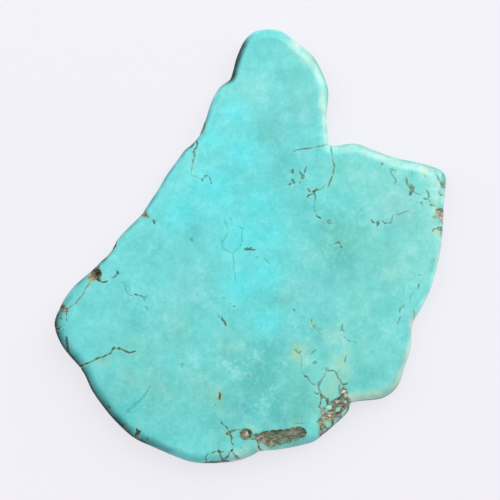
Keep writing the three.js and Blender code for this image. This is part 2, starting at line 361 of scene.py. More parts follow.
        (0.46, 0.84, 0.9, [(219.3, 392.6), (219.9, 395), (219.2, 398), (219.5, 401.4)]),
        (0.3, 0.95, 0.6, [(217.2, 399.4), (218.8, 397.2)]),
        (0.23, 0.45, 0.3, [(215, 404.4), (215.6, 405.2)]),
        (0.2, 0.2, 0.9, [(299.6, 414.5), (303.4, 420)]),
        (0.2, 0.3, 0.1, [(293.2, 424.4), (298.5, 423.2), (303.9, 423.5)]),
        (0.25, 0.55, 0.3, [(179.5, 448), (182, 451)]),
        (0.3, 0.4, 0.3, [(147, 439), (149.6, 441.8)]),
    ],
    "left": [
        (0.6, 0.9, 0.2, [(98.2, 280), (99.6, 280.8)]),
        (0.32, 0.72, 0.3, [(98.6, 280.4), (100.4, 281.6), (103, 282.2), (106.8, 281.4)]),
        (0.36, 0.86, 0.2, [(99.4, 263.6), (98, 265.4), (98.8, 267.4)]),
        (0.4, 0.72, 0.1, [(117.6, 272), (118.4, 273.4)]),
        (0.27, 0.62, 0.2, [(118, 273.4), (115.5, 276), (112.8, 278)]),
        (0.2, 0.26, 0.3, [(116.4, 268), (117.2, 271)]),
        (0.22, 0.36, 0.3, [(120, 281.8), (123.5, 283.2), (125, 285.5)]),
        (0.2, 0.26, 0.2, [(125, 285.5), (126, 290), (127.5, 293.5), (130.5, 295.7), (134, 295.2)]),
        (0.4, 0.82, 0.3, [(135.2, 294.2), (136.4, 294.8)]),
        (0.23, 0.45, 0.1, [(137, 295), (139, 295.5), (142, 296.5), (144.6, 298), (147, 295.4)]),
        (0.36, 0.36, 0.7, [(143.8, 298), (145, 301.4)]),
        (0.4, 0.4, 0.9, [(145, 306.6), (146.4, 308.6)]),
        (0.5, 0.76, 0.3, [(113.4, 349.4), (114.2, 348.2)]),
        (0.4, 0.75, 0.3, [(118.2, 348.8), (119.2, 348.6)]),
        (0.45, 0.74, 1, [(124.4, 350.6), (126.4, 351.6)]),
        (0.25, 0.36, 0.4, [(60.3, 327.6), (63.6, 330.2)]),
        (0.22, 0.52, 0.6, [(179.8, 365), (181.6, 363.8), (182.8, 365.6), (181.2, 367.2)]),
        (0.56, 0.19, 0, [(151, 386.6), (147.6, 391), (144.2, 395.8), (139.6, 401.2), (134.4, 406),
                          (130, 410.2), (126.8, 412.6)]),
        (0.25, 0.42, 0.5, [(192.3, 166), (191.5, 170), (191, 175)]),
        (0.2, 0.2, 0.1, [(191, 175), (194.5, 176.5), (198.5, 178), (201.5, 178.8)]),
        (0.33, 0.42, 0.1, [(202, 179.4), (202.5, 180.8)]),
        (0.3, 0.66, 0.2, [(203, 178.5), (205.5, 177), (207.5, 176.3), (209.8, 178), (211, 183.4)]),
        (0.2, 0.26, 0.1, [(207.3, 170.6), (207.2, 175)]),
    ],
}

# Veins that show on the back face only, which the photograph doesn't show.
BACK_VEINS = {
    "web above the middle": [
        (0.28, 0.6, 0.4, [(232, 168), (240, 179), (238, 192), (249, 204), (247, 219), (258, 229)]),
        (0.22, 0.4, 0.3, [(238, 192), (226, 199), (221, 211), (209, 216)]),
        (0.25, 0.5, 0.5, [(258, 229), (271, 227), (281, 236), (295, 234)]),
        (0.4, 0.7, 0.6, [(257, 228), (259, 230)]),
    ],
    "web on the left": [
        (0.25, 0.55, 0.4, [(150, 312), (163, 318), (171, 331), (166, 347), (152, 352), (141, 343),
                           (139, 326), (150, 312)]),
        (0.22, 0.45, 0.6, [(171, 331), (184, 328), (193, 337), (207, 336)]),
        (0.22, 0.3, 0.2, [(166, 347), (172, 360), (169, 373)]),
        (0.43, 0.65, 0.7, [(170, 330), (172, 332)]),
    ],
    "branches on the right": [
        (0.32, 0.7, 0.4, [(352, 262), (361, 270), (360, 281), (370, 290), (372, 303)]),
        (0.22, 0.4, 0.4, [(370, 290), (381, 286), (389, 291)]),
        (0.25, 0.5, 0.7, [(360, 281), (349, 287), (345, 297)]),
        (0.2, 0.25, 0.2, [(372, 303), (366, 314), (369, 326)]),
    ],
    "lower middle": [
        (0.3, 0.65, 0.5, [(228, 352), (239, 360), (246, 373), (259, 378), (268, 390)]),
        (0.22, 0.35, 0.3, [(246, 373), (240, 385), (244, 396)]),
        (0.37, 0.5, 0.8, [(205, 372), (207, 375)]),
        (0.37, 0.6, 0.4, [(286, 332), (288, 334)]),
    ],
}

# Patches of matrix: (depth in mm, pixels round it).
EDGE_PATCHES = {
    "broken matrix": (0.16, [
        (341.2, 389), (343.6, 387.4), (346.8, 390.4), (348, 394), (346.6, 396.6), (349, 398.4), (351, 401.4),
        (351.8, 406), (349.8, 411.4), (345, 417.4), (339, 423.4), (331.4, 431.8), (325, 436.4),
        (320.4, 437.6), (320, 431), (318.8, 425), (318, 421.4), (320.4, 417.8), (321.9, 414.5),
        (320.8, 411), (321.8, 408.8), (324.4, 407), (326.6, 405.4), (327.4, 403.2), (329.6, 401.6),
        (333, 400.6), (336.6, 398.8), (339.4, 396.8), (340.4, 392.4)]),
    "pit in the left edge": (0.9, [
        (88.2, 275.8), (90.6, 271.4), (93.6, 267.8), (96.2, 265.8), (98.5, 268.3), (100.8, 270.8),
        (101.4, 274.8), (100.4, 278.4), (97.8, 279.8), (94.5, 280.4), (92, 281), (89.8, 280), (88.5, 278)]),
    "patch on the right edge": (0.08, [
        (436.6, 208.6), (440, 208.2), (445.4, 208.4), (445.4, 214), (444.4, 219), (443, 223), (441.2, 222.2),
        (440, 219.4), (438, 217), (435, 218.2), (433.3, 217.4), (435.2, 215.6), (436.6, 212.2)]),
    "patch on the left edge": (0.08, [
        (59.6, 305.6), (62.4, 302.8), (65.6, 306.6), (68, 309.6), (66.8, 312.4), (63.5, 311.4),
        (58.6, 311.8)]),
    "patch on the upper left edge": (0.1, [
        (141.4, 214.2), (144.6, 210), (147.5, 213.6), (148.3, 217.5), (144.5, 217)]),
}
FRONT_PATCHES = {
    "long patch by the lower edge": (0.22, [
        (253.6, 438), (253.8, 434.6), (258.2, 433.2), (262, 432.2), (266, 430.9), (272, 430.4),
        (277.2, 429.8), (284, 429.4), (289.4, 428.6), (293.4, 427.5), (298.4, 426.9), (303.2, 427.8),
        (305.8, 430.2), (306.8, 433.4), (305, 436.6), (299.8, 438.8), (295, 440.8), (289, 442.6),
        (284, 443.8), (279, 445.4), (273, 446.6), (268.4, 446.8), (264.6, 444.4), (261.2, 442),
        (256.8, 441.4)]),
    "round knot beside it": (0.18, [
        (240.2, 431.8), (241.6, 429.8), (244.2, 428.8), (247.5, 429), (250, 430.6), (251.3, 433),
        (251.2, 436), (250.3, 438.5), (247.8, 439.8), (244.5, 440.6), (242, 438.8), (240.5, 436)]),
}
BACK_PATCHES = {
    "patch in the lower middle": (0.2, [
        (262, 388), (269, 386), (277, 389), (284, 388), (290, 392), (288, 397), (280, 398), (273, 401),
        (266, 398), (261, 393)]),
    "knot on the right": (0.16, [
        (350, 258), (354, 256), (358, 259), (358, 264), (354, 267), (350, 264)]),
}

# Islands of turquoise inside the matrix: (x, y, radii across and up in pixels, turn in degrees).
ISLANDS = [
    (329.2, 407, 3.3, 2.7, 0),
    (337.9, 409.8, 2.5, 1.9, 40),
    (344.3, 412.8, 5.6, 2.1, 54),
    (328.4, 424.4, 4.3, 3.7, 0),
    (336.4, 421.2, 2.4, 3.4, -30),
    (325, 430.6, 1.8, 1.3, 40),
    (345.4, 401.4, 1.1, 0.9, 0),
    (326.4, 411.2, 1.0, 1.4, 0),
    (345.4, 396.6, 1.4, 1.7, 0),
    (340, 419.2, 1.5, 1.0, 50),
]

# The matrix's own colours, and the painted shade in the pit: sRGB from 0 to 255, and round spots of it as (x,
# y, radius) in pixels.
MATRIX_GREY = (122, 130, 112)
MATRIX_SPOTS = {
    "grey of the broken matrix": ((138, 146, 130), [(336, 403, 6), (341, 407, 5), (345, 402, 4)]),
    "pale grey below it": ((172, 178, 158), [
        (323, 411, 4), (322, 417, 4), (330, 418, 6), (324, 424, 6), (321, 430, 6), (345, 394, 5),
        (337, 416, 5), (349.6, 401.6, 4)]),
    "grey": ((128, 130, 118), [(245, 434, 4), (258, 436.6, 4)]),
    "dark olive": ((80, 94, 76), [(301, 434, 4), (277, 433, 4), (268, 441, 4), (290, 438, 3)]),
    "grey green": ((100, 138, 112), [
        (346, 400.6, 2.2), (325.5, 429.6, 2.6), (339.4, 417.5, 2), (268, 447, 3.4), (275, 446.4, 3.4),
        (281, 444.6, 4), (287, 442.6, 4), (294, 440, 4), (300, 438.6, 3.4), (246, 440, 3),
        (258, 441.4, 3)]),
    "olive": ((90, 108, 80), [
        (266, 431.4, 2.4), (273, 431, 2.4), (280, 430.4, 2.4), (287, 429.6, 2.4), (343.4, 394.2, 1.6)]),
    "rose brown": ((156, 132, 112), [(91.6, 277, 5), (265, 441, 2.8), (64.6, 309.6, 1.8)]),
    "rose grey": ((142, 134, 122), [
        (335, 415.2, 3.4), (334.2, 408.4, 2), (292, 433, 3), (243.4, 434.6, 2.4)]),
    "ochre": ((168, 160, 118), [
        (327, 419.4, 3.4), (270.5, 443.6, 2), (89.8, 279.4, 2), (331.4, 417.8, 2), (324, 420.4, 2)]),
    "pale tan": ((204, 196, 178), [
        (438, 213.4, 3), (441.4, 217.6, 2.8), (442.4, 213, 2), (436, 216.6, 2)]),
    "cream": ((204, 200, 176), [
        (328.6, 402.2, 1.6), (344.6, 391.2, 2.4), (246.6, 433.6, 1.8), (252.8, 437.3, 1.8),
        (337.6, 401.8, 1.6)]),
    "soot": ((40, 44, 40), [
        (338.8, 398.4, 1.8), (344.1, 406.6, 1.4),
        (337.3, 413.2, 1.1), (322.9, 424.4, 1.2), (332.9, 422.4, 1.5), (325.4, 408.6, 1.2), (321, 429, 1.2),
        (250.6, 432.4, 1.6), (250.4, 436, 1.4), (303, 428.6, 1.2), (306, 432.6, 1.6),
        (61.6, 305.6, 3.2)]),
    # Painted shade: the deep pit's hollow painted almost black.
    "painted shade in the pit": ((20, 18, 16), [(96.2, 271.2, 4.8), (99.2, 273.4, 2.6)]),
}

# The stone's slow changes of colour: a factor for red, green and blue, and soft round spots as (x, y,
# radius) in pixels.
TINTS = {
    "cyan": ((0.74, 1.12, 1.18), [
        (215, 190, 30), (245, 235, 28), (265, 275, 20), (180, 212, 20), (240, 155, 22), (235, 110, 14),
        (258, 205, 22), (270, 235, 16), (240, 285, 20), (268, 322, 14), (210, 140, 12)]),
    "dull": ((0.99, 0.92, 0.87), [
        (130, 350, 34), (160, 400, 44), (200, 400, 40), (250, 380, 40), (290, 390, 34), (225, 425, 36),
        (180, 340, 24), (230, 350, 26), (120, 390, 30), (330, 400, 24), (345, 250, 30), (270, 132, 16)]),
    "bright": ((1.16, 1.06, 1.04), [
        (250, 85, 26), (213, 140, 18), (192, 172, 16), (392, 178, 26), (425, 200, 22), (410, 252, 16),
        (308, 258, 12), (338, 330, 14), (342, 360, 14), (300, 365, 8), (105, 262, 14), (178, 322, 14),
        (420, 285, 18), (392, 325, 14)]),
    "deep": ((0.76, 0.88, 0.89), [
        (272, 134, 16), (284, 165, 14), (290, 75, 10), (303, 210, 14), (324, 228, 15), (345, 262, 18),
        (335, 282, 10), (243, 408, 17), (260, 380, 16), (272, 350, 16), (222, 402, 10), (300, 404, 18),
        (370, 375, 14), (122, 300, 16), (280, 412, 14), (318, 340, 6), (325, 355, 6), (135, 322, 12),
        (328, 318, 12), (195, 235, 18)]),
    "grey": ((1.28, 0.99, 0.98), [
        (190, 288, 22), (172, 318, 20), (212, 392, 14), (335, 336, 12), (345, 365, 12), (310, 255, 12),
        (250, 92, 22), (400, 205, 30), (420, 245, 26), (390, 262, 26), (195, 380, 18), (230, 345, 16),
        (152, 348, 18), (152, 380, 18), (300, 105, 22), (300, 290, 18)]),
    "green": ((1.1, 1.0, 0.93), [
        (345, 175, 34), (385, 190, 40), (415, 215, 36), (350, 235, 34), (400, 275, 34), (360, 310, 40),
        (320, 350, 34), (370, 360, 36), (310, 400, 26), (218, 400, 14), (300, 70, 24), (285, 300, 10)]),
    "warm right side": ((1.24, 1.02, 1.03), [
        (395, 215, 40), (365, 175, 30), (350, 300, 44), (385, 340, 46), (340, 370, 40), (415, 280, 30),
        (300, 350, 22)]),
    "rough corner": ((1.75, 1.06, 1.0), [
        (436, 182, 10), (436, 196, 6), (436, 229, 6), (424, 172, 6), (441, 174, 5), (443, 185, 4),
        (435, 209, 4), (434, 218, 4)]),
    "peach": ((1.5, 1.02, 0.98), [
        (329, 334, 5), (246, 446, 5), (303, 350, 4), (342, 337, 4), (107, 363, 3), (131, 383, 3.6),
        (164, 386, 3.4), (336, 334, 4), (443, 184, 5), (413, 318, 6), (337.6, 380, 4), (338.4, 387, 4),
        (92.6, 281, 3.4), (103, 280.6, 3), (234, 305.4, 2.6)]),
    "tan shade": ((1.08, 0.85, 0.8), [(103, 360, 7), (128, 372, 5), (130, 380, 6), (164, 387, 3)]),
    "pale islands": ((2.1, 1.34, 1.2), [
        (x, y, 1.4 * max(across, up)) for x, y, across, up, _ in ISLANDS]),
    "blush beside the stain": ((1.5, 0.98, 0.96), [(303.5, 350.5, 4), (306, 357, 3)]),
    "light veil": ((1.28, 1.06, 1.04), [
        (308, 362, 9), (334, 367, 8), (292, 324, 7), (343, 324, 6), (348, 343, 6), (337, 354, 5),
        (408, 308, 9), (238, 430, 6), (254, 430, 4), (257, 445, 4), (317, 404, 9), (316, 420, 8),
        (321, 386, 6), (431, 211, 8)]),
    "pale foot of the ring": ((2.1, 1.12, 1.1), [(334, 397.8, 2.6)]),
    "teal shade": ((0.88, 0.89, 0.91), [(313, 327, 6), (317, 337, 6), (241, 410, 10), (283, 300, 6)]),
    "less red": ((0.7, 0.94, 0.96), [(409, 285, 8), (133, 403, 6)]),
    "less red at the lower left": ((0.82, 0.95, 0.97), [(128, 406, 15), (131, 418, 9), (108, 389, 9)]),
    "dull green above the long patch": ((0.98, 0.84, 0.82), [(268, 423, 8), (282, 421, 9), (296, 420, 8)]),
    "bright upper left": ((1.12, 1.1, 1.14), [(213, 122, 13), (218, 133, 12)]),
}

# Yellow green stains beside some veins: how strong, and spots like those above.
STAINS = [
    (0.7, [(296.6, 347.6, 6), (295.4, 354, 6), (299.5, 360, 4)]),
    (0.46, [(338, 362, 6), (343, 367, 5.4), (345, 377, 5.4), (340.5, 379.5, 5), (219.5, 397, 5),
            (410.2, 185.6, 3), (89.4, 283, 3), (325, 433, 3), (437, 231, 3), (312, 324, 3.4),
            (437, 207, 4), (303, 177, 2.6), (331, 389, 5), (326, 395, 4), (328, 424, 3), (255, 429.6, 3.4)]),
    (0.3, [(288, 445, 4.6), (301, 440, 4.6), (364, 338, 4), (346, 352, 5), (309, 190, 3), (229, 434, 4),
           (249, 426, 5), (219, 452, 4), (425, 172, 4), (318, 428, 5), (330, 377, 8), (294, 424, 5),
           (276, 448, 4), (442, 194, 3)]),
]

# Where pale specks and clouds are thick.
SPECKLED = [
    (270, 395, 18), (240, 370, 22), (255, 350, 16), (225, 365, 12), (285, 350, 14), (300, 330, 10),
    (130, 295, 8), (250, 415, 16), (195, 365, 10), (330, 250, 14), (355, 215, 12), (400, 290, 12)]

# A run of soft spots along the lower left edge, from the left corner to the foot, for the painted shade
# below.
LOWER_LEFT_SHADE = [(x, y, 14) for x, y in (
    (57, 326), (59, 333), (61, 340), (64.5, 346), (68, 352), (71.5, 358), (75, 364), (78.5, 370), (82, 376),
    (85.5, 381.5), (89, 387), (92.5, 392.5), (96, 398), (101.5, 403.5), (107, 409), (112.5, 414.5),
    (118, 420), (124, 424.5), (130, 429), (136, 433.5), (142, 438))]

# Colours of the rounded edge, its own rinds and many painted highlights and painted shade: a factor for red,
# green and blue; how far in from the outline it starts, how far in it stays full, and where it ends, in mm;
# and soft spots as (x, y, radius) in pixels that say where along the edge it shows.
EDGE_TINTS = {
    # Painted highlight over a paler mint rind, on the edge of the lobe, its neck and the shoulder that face
    # the light.
    "pale rind and painted highlight on the lobe's shoulder": ((3.3, 1.06, 1.0), 0.1, 1.4, 2.9, [(298, 44, 11), (310, 53, 10)]),
    "mint rind and painted highlight on the lobe": ((3.5, 1.42, 1.27), 0.25, 1.05, 2.15, [
        (325, 80, 12), (328, 96, 14), (328, 108, 9)]),
    "mint rind and painted highlight above it": ((1.9, 1.1, 1.03), 0.3, 1.05, 2.15, [(319, 66, 8)]),
    "mint rind and painted highlight on the neck": ((4.0, 1.46, 1.3), -0.2, 0.6, 1.45, [(328, 122, 11), (330, 138, 11)]),
    "mint rind and painted highlight on the shoulder": ((2.4, 1.08, 1.04), 0.15, 0.75, 2.0, [
        (350, 148, 12), (366, 151, 14), (382, 156, 14), (400, 160, 16), (416, 164, 14)]),
    "duller stone beside the shoulder": ((1.0, 0.9, 0.88), 0.8, 1.3, 2.2, [(366, 151, 14), (382, 156, 12)]),
    "paler shoulder": ((1.2, 0.98, 0.98), 1.0, 2.0, 3.4, [(410, 162, 10)]),
    "worn shoulder": ((1.2, 0.92, 0.9), 0.0, 2.0, 3.0, [(430, 168, 9)]),
    # Painted highlight and painted light over paler stone and rind, along the right side that faces the
    # light.
    "brighter stone and painted highlight under the corner": ((1.08, 1.1, 1.1), 0.2, 1.0, 1.6, [(444, 200, 7)]),
    "pale band and painted highlight on the right side": ((1.45, 1.13, 1.03), 0.6, 1.3, 2.4, [(442, 240, 14)]),
    "mint rind and painted highlight on the right side": ((2.3, 1.24, 1.12), 0.0, 0.35, 1.4, [
        (444, 196, 7), (442, 236, 14), (439, 255, 13), (411, 345, 14), (406, 372, 12)]),
    "mint rind and painted highlight below it": ((1.8, 1.4, 1.3), 0.0, 0.35, 1.2, [(434, 278, 14), (424, 300, 14)]),
    "pale rind and painted highlight at the right side's notch": ((3.3, 1.16, 1.02), 0.0, 0.3, 1.1, [(412, 323, 9)]),
    "brighter stone and painted light beside the right edge": ((1.34, 1.11, 1.1), 1.1, 2.6, 4.2, [
        (404, 165, 13), (424, 174, 13), (436, 188, 12), (438, 205, 12), (436, 240, 14)]),
    "pale stone and painted highlight below it": ((1.3, 1.06, 1.05), 0.2, 0.9, 1.9, [(424, 302, 9)]),
    "brighter stone and painted light below it": ((1.1, 1.14, 1.12), 0.3, 2.4, 3.6, [(420, 303, 12)]),
    # Painted shade on the steep outer line of the edge, where the wall turns from the light.
    "painted shade along the outline of the lobe and the shoulder": ((0.64, 0.79, 0.73), -0.3, 0.34, 0.75, [
        (314, 60, 8), (322, 74, 11), (326, 88, 10), (345, 146, 14), (360, 148, 14),
        (382, 156, 16), (410, 164, 18), (431, 168, 12)]),
    "painted shade along the outline under it": ((0.7, 0.98, 0.94), -0.3, 0.34, 0.75, [(329, 102, 10)]),
    "beige rind": ((3.7, 1.22, 0.97), 0.25, 1.1, 2.8, [
        (353, 400, 12), (376, 399, 14), (396, 390, 10)]),
    "paler stone beside the step": ((1.3, 1.16, 1.13), 0.3, 1.0, 1.7, [(356, 401, 8)]),
    "beige rind above it": ((2.4, 1.08, 0.96), 0.1, 0.8, 2.2, [(406, 374, 10), (409, 358, 8)]),
    "pale rind": ((3.0, 1.14, 1.06), 0.0, 1.4, 2.8, [(240, 459, 14), (262, 452, 8)]),
    "pale rind below the long patch": ((1.7, 1.28, 1.28), 0.1, 1.0, 2.0, [(266, 450, 10), (280, 447, 10)]),
    # Painted shade on the outer line of the upper left edge, which faces away from the light.
    "painted shade along the upper left outline": ((0.48, 0.54, 0.54), -0.3, 0.28, 0.8, [
        (230, 84, 16), (206, 120, 22), (188, 146, 18), (170, 172, 22), (152, 200, 16), (104, 258, 16),
        (84, 283, 10)]),
    "cyan stone beside it": ((0.8, 0.97, 1.04), 0.1, 1.0, 1.8, [
        (206, 120, 14), (188, 146, 14), (170, 172, 16)]),
    # Painted shade, like the line above.
    "ends of the painted shade on the lobe": ((0.5, 0.5, 0.5), -0.3, 0.4, 1.1, [(243, 38, 8), (231, 79, 7)]),
    "thinner painted shade below it": ((0.6, 0.64, 0.64), -0.3, 0.28, 0.8, [(130, 226, 16)]),
    # Partly a dark stain, partly a painted shadow cast onto the lobe's left edge.
    "painted shadow and dark stain on the lobe's left side": ((0.12, 0.11, 0.12), -0.3, 0.6, 1.35, [
        (240.5, 46, 8), (239.5, 50, 8), (238.5, 54, 8), (237, 58, 8), (236, 62, 8), (235, 66, 8),
        (233.5, 70, 8), (232.5, 74, 6)]),
    # Painted shade on the left edge beside the pit, which faces away from the light.
    "painted shade beside the pit": ((0.72, 0.8, 0.8), -0.3, 1.1, 2.0, [
        (100, 262, 14), (84, 283, 16), (72, 298, 12)]),
    # Painted shade on the lower left edge and the left corner, which face away from the light.
    "painted shade on the lower left outline": ((0.28, 0.28, 0.29), -0.3, 0.3, 0.95, [(57, 317, 13), *LOWER_LEFT_SHADE]),
    "painted shade on the left corner's outline": ((0.6, 0.66, 0.66), -0.3, 0.5, 0.9, [(56, 325, 10)]),
    "warmer stone at the left corner": ((1.3, 1.0, 1.0), 0.5, 1.2, 1.9, [(57, 325, 12)]),
    "pale rind below the broken matrix": ((1.5, 1.3, 1.25), 0.0, 1.0, 2.2, [(317, 434, 5)]),
    # Painted shade over the whole rounded edge at the lower left.
    "painted shade along the lower left edge": ((0.42, 0.47, 0.48), -0.3, 0.3, 2.2, [
        (58, 311, 13), (57.5, 318, 12), *LOWER_LEFT_SHADE, (148, 441, 12), (154, 444, 13), (160, 446, 12),
        (165, 448, 11)]),
    "warmer stone at the lower left": ((1.4, 1.0, 1.02), 0.0, 0.8, 1.6, [(88, 390, 12)]),
    # Painted shadow on the edge at the thumb.
    "painted shadow at the thumb": ((0.76, 0.64, 0.62), -0.3, 0.8, 1.6, [
        (108, 414, 12), (116, 421, 12), (124, 428, 12)]),
    # Painted shade further in from the lower left edge.
    "painted shade further in from the lower left edge": ((0.76, 0.88, 0.89), -0.3, 2.2, 4.2, LOWER_LEFT_SHADE),
}

# Grime in the rough outer line of the edge, and painted shade there and in the pit: how strong, how far in
# it reaches in mm, and spots as above.
GRIME_AND_SHADE = [
    # Painted shade on the outer line of the upper left and lower edges.
    (0.42, 0.34, [(230, 84, 24), (205, 122, 26), (180, 160, 30), (150, 203, 32), (118, 245, 28),
                  (84, 283, 24), (180, 452, 30), (280, 450, 30), (330, 430, 24)]),
    # Painted shade on the outer line of the lower right edge.
    (0.5, 0.5, [(375, 400, 18), (396, 391, 12)]),
    # Faint painted shade on the outer line of the right edges.
    (0.14, 0.3, [(410, 162, 50), (445, 215, 40), (315, 70, 30)]),
    # Painted shade along the lower left edge.
    (0.9, 0.62, LOWER_LEFT_SHADE),
    # Grime in stains on the edge.
    (0.8, 0.45, [(212, 461, 12), (112, 247, 9), (196, 141, 6), (204, 124, 8), (232, 76, 6), (190, 453, 10),
                 (146, 212, 5), (60, 305, 8), (103, 259, 8)]),
    # Partly a dark stain, partly painted shadow on the lobe's left edge.
    (0.96, 0.66, [(241, 46, 6), (239.5, 50, 6), (238.5, 54, 6), (237, 58, 6), (236, 62, 6), (235, 66, 6),
                   (234, 70, 5), (233, 73, 5)]),
    # Painted shade at the pit's rim.
    (0.8, 0.4, [(93, 268.6, 4)]),
    # Partly dark specks, partly painted shadow along the edge at the thumb.
    (0.94, 0.95, [(107.6, 407, 3.4), (115.4, 418, 3.4), (118, 420.6, 3.8), (120.6, 423.2, 4),
                  (123.2, 425.8, 4), (125.8, 428.4, 4), (128, 430.6, 3.6)]),
    (0.7, 0.85, [(97, 394, 3), (101, 399.4, 3.4), (104.4, 403.4, 3.4)]),
    # Painted shade inside the pit.
    (1.0, 2.2, [(96, 271, 3.6)]),
]

# Where the edge's rounding is narrower than elsewhere: soft spots as (x, y, radius) in pixels.
TIGHT_EDGE = [
    (233, 70, 12), (222, 95, 12), (206, 120, 16), (186, 150, 18), (165, 178, 20), (142, 208, 20),
    (122, 234, 18), (104, 258, 14), (246, 458, 12), (275, 449, 14), (411, 325, 10), (440, 250, 18),
    (432, 290, 16)]
TIGHT_SHARE = 0.5                  # the share by which it is narrower there

# The stone itself, sRGB from 0 to 255.
STONE = (100, 213, 210)
STONE_PALE = (144, 231, 227)
STONE_DEEP = (78, 188, 184)
SPECK = (190, 246, 242)
VEIN_BLACK = (34, 50, 44)
VEIN_FAINT = (20, 132, 128)
VEIN_BROWN = (86, 76, 54)
HALO = (176, 208, 164)             # the stone beside a rusty vein
STAIN = (166, 208, 146)
MATRIX_HALO = (104, 164, 134)      # the stone round a patch of matrix
MATRIX_RIM_SHADE = (62, 72, 56)          # painted shade along a patch's sunken side
# the colour of grime and of painted shade
GRIME_AND_SHADE_DARK = (36, 46, 40)

# What the warmer and the greener grains of the matrix are multiplied by: red, green, blue and alpha.
WARM_GRAINS = (1.13, 0.97, 0.93, 1.0)
GREEN_GRAINS = (0.9, 1.02, 0.97, 1.0)

# The floor and the sky.
FLOOR = (120, 119, 122)            # sRGB from 0 to 255
FLOOR_GLOW = 3.6                   # the bright backdrop: it keeps the slab's shadow faint
FLOOR_HALF = 3.0                   # half of its side, in metres
SKY = (0.93, 0.94, 1.0, 1.0)       # linear, with alpha
SKY_STRENGTH = 0.33

TINY = 1e-9                        # stands in for 0 where something is divided by it


def linear(colour):
    """An sRGB colour from 0 to 255 as the linear one, with alpha, that a shader takes."""
    return *(np.array(colour) / 255) ** 2.2, 1.0


def place(pixels):
    """Pixels of the photograph as places on the slab in mm, seen from above."""
    offset = (np.array(pixels, float) - ORIGIN_PIXEL) / PIXELS_PER_MM
    return offset * (1, -1)


def rise(value, start, end):
    """0 before start, 1 after end, and a smooth step between them. Start may be the larger one."""
    t = np.clip((value - start) / (end - start), 0, 1)
    return t * t * (3 - 2 * t)


def hills(points, size, seed):
    """Smooth random hills and hollows about this size across, mostly from -1 to 1, at each point."""
    waves = 10
    random = np.random.default_rng(seed)
    total = np.zeros(len(points))
    for _ in range(waves):
        direction, phase = random.uniform(0, 2 * math.pi, 2)
        length = size * random.uniform(1.2, 2.6)
        along = points[:, 0] * math.cos(direction) + points[:, 1] * math.sin(direction)
        total += np.sin(2 * math.pi * along / length + phase)
    return total * math.sqrt(2 / waves) / 1.6


def stray(points, amount, size, seed):
    """Each point moved by up to about this amount, one way or another, in hills of this size."""
    way = np.column_stack([hills(points, size, seed), hills(points, size, seed + 1)])
    return points + np.reshape(amount, (-1, 1)) * way


def spots(points, centres):
    """From 0 to 1, how much soft round spots cover each point."""
    cover = np.zeros(len(points))
    for x, y, radius in centres:
        gap = np.linalg.norm(points - place((x, y)), axis=1) * PIXELS_PER_MM / radius
        cover = np.maximum(cover, np.exp(-gap ** 2 * SPOT_FALLOFF))
    return cover


def smooth_curve(points, step, closed=False):
    """Points about a step apart on a centripetal Catmull-Rom curve through these."""
    points = np.array(points, float)
    if closed:
        controls = np.vstack([points[-1], points, points[:2]])
    else:
        controls = np.vstack([2 * points[0] - points[1], points, 2 * points[-1] - points[-2]])
    made = []
    for p0, p1, p2, p3 in zip(controls, controls[1:], controls[2:], controls[3:]):
        span = np.linalg.norm(p2 - p1)
        t1 = math.sqrt(np.linalg.norm(p1 - p0))
        t2 = t1 + math.sqrt(span)
        t3 = t2 + math.sqrt(np.linalg.norm(p3 - p2))
        t = np.linspace(t1, t2, max(1, round(span / step)), endpoint=False)[:, None]
        a1 = ((t1 - t) * p0 + t * p1) / t1
        a2 = ((t2 - t) * p1 + (t - t1) * p2) / (t2 - t1)
        a3 = ((t3 - t) * p2 + (t - t2) * p3) / (t3 - t2)
        b1 = ((t2 - t) * a1 + t * a2) / t2
        b2 = ((t3 - t) * a2 + (t - t1) * a3) / (t3 - t1)
        made.append(((t2 - t) * b1 + (t - t1) * b2) / (t2 - t1))
    if not closed:
        made.append(points[-1:])
    return np.vstack(made)


class Outline:
    """The slab's outline seen from above, with its outward normals."""

    REACH = 8                      # a normal is averaged over this many points on each side

    def __init__(self, ring):
        self.ring = smooth_curve(ring, OUTLINE_STEP, closed=True)
        along = np.roll(self.ring, -1, axis=0) - np.roll(self.ring, 1, axis=0)
        normals = np.column_stack([along[:, 1], -along[:, 0]])
        turned = sum(np.roll(normals, shift, axis=0) for shift in range(-self.REACH, self.REACH + 1))
        self.normals = turned / np.linalg.norm(turned, axis=1)[:, None]
        count = len(self.ring)
        walls = [(*p, z) for z in (-1.0, 1.0) for p in self.ring]
        quads = [(i, (i + 1) % count, (i + 1) % count + count, i + count) for i in range(count)]
        self.tree = BVHTree.FromPolygons(walls, quads)

    def measure(self, points):
        """How far inside the outline each point is, less than 0 outside, and the way out of the slab."""
        distance = np.empty(len(points))
        outward = np.empty((len(points), 2))
        for i, point in enumerate(points):
            _, _, wall, gap = self.tree.find_nearest((*point, 0.0))
            outward[i] = self.normals[wall]
            side = np.dot(self.ring[wall] - point, self.normals[wall])
            distance[i] = gap if side > 0 else -gap
        return distance, outward


def cad_ring():
    """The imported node's vertices at mid height, in mm, in order round the slab, anticlockwise."""
    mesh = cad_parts[NODE].data
    middle = (LOWEST[2] + HIGHEST[2]) / 2
    level = 0.01                   # how far from the middle still counts as on it
    spot = {}                      # vertices that lie on one another share a spot
    for vertex in mesh.vertices:
        x, y, z = (value / MM for value in vertex.co)
        if abs(z - middle) < level:
            spot[vertex.index] = (round(x, 3), round(y, 3))
    following = {}
    for face in mesh.polygons:
        corners = list(face.vertices)
        above = any(mesh.vertices[i].co.z / MM > middle + level for i in corners)
        for a, b in zip(corners, corners[1:] + corners[:1]):
            if a in spot and b in spot and above:
                following[spot[a]] = spot[b]
    start = min(following)
    ring = [start]
    while following[ring[-1]] != start:
        ring.append(following[ring[-1]])
    return np.array(ring)


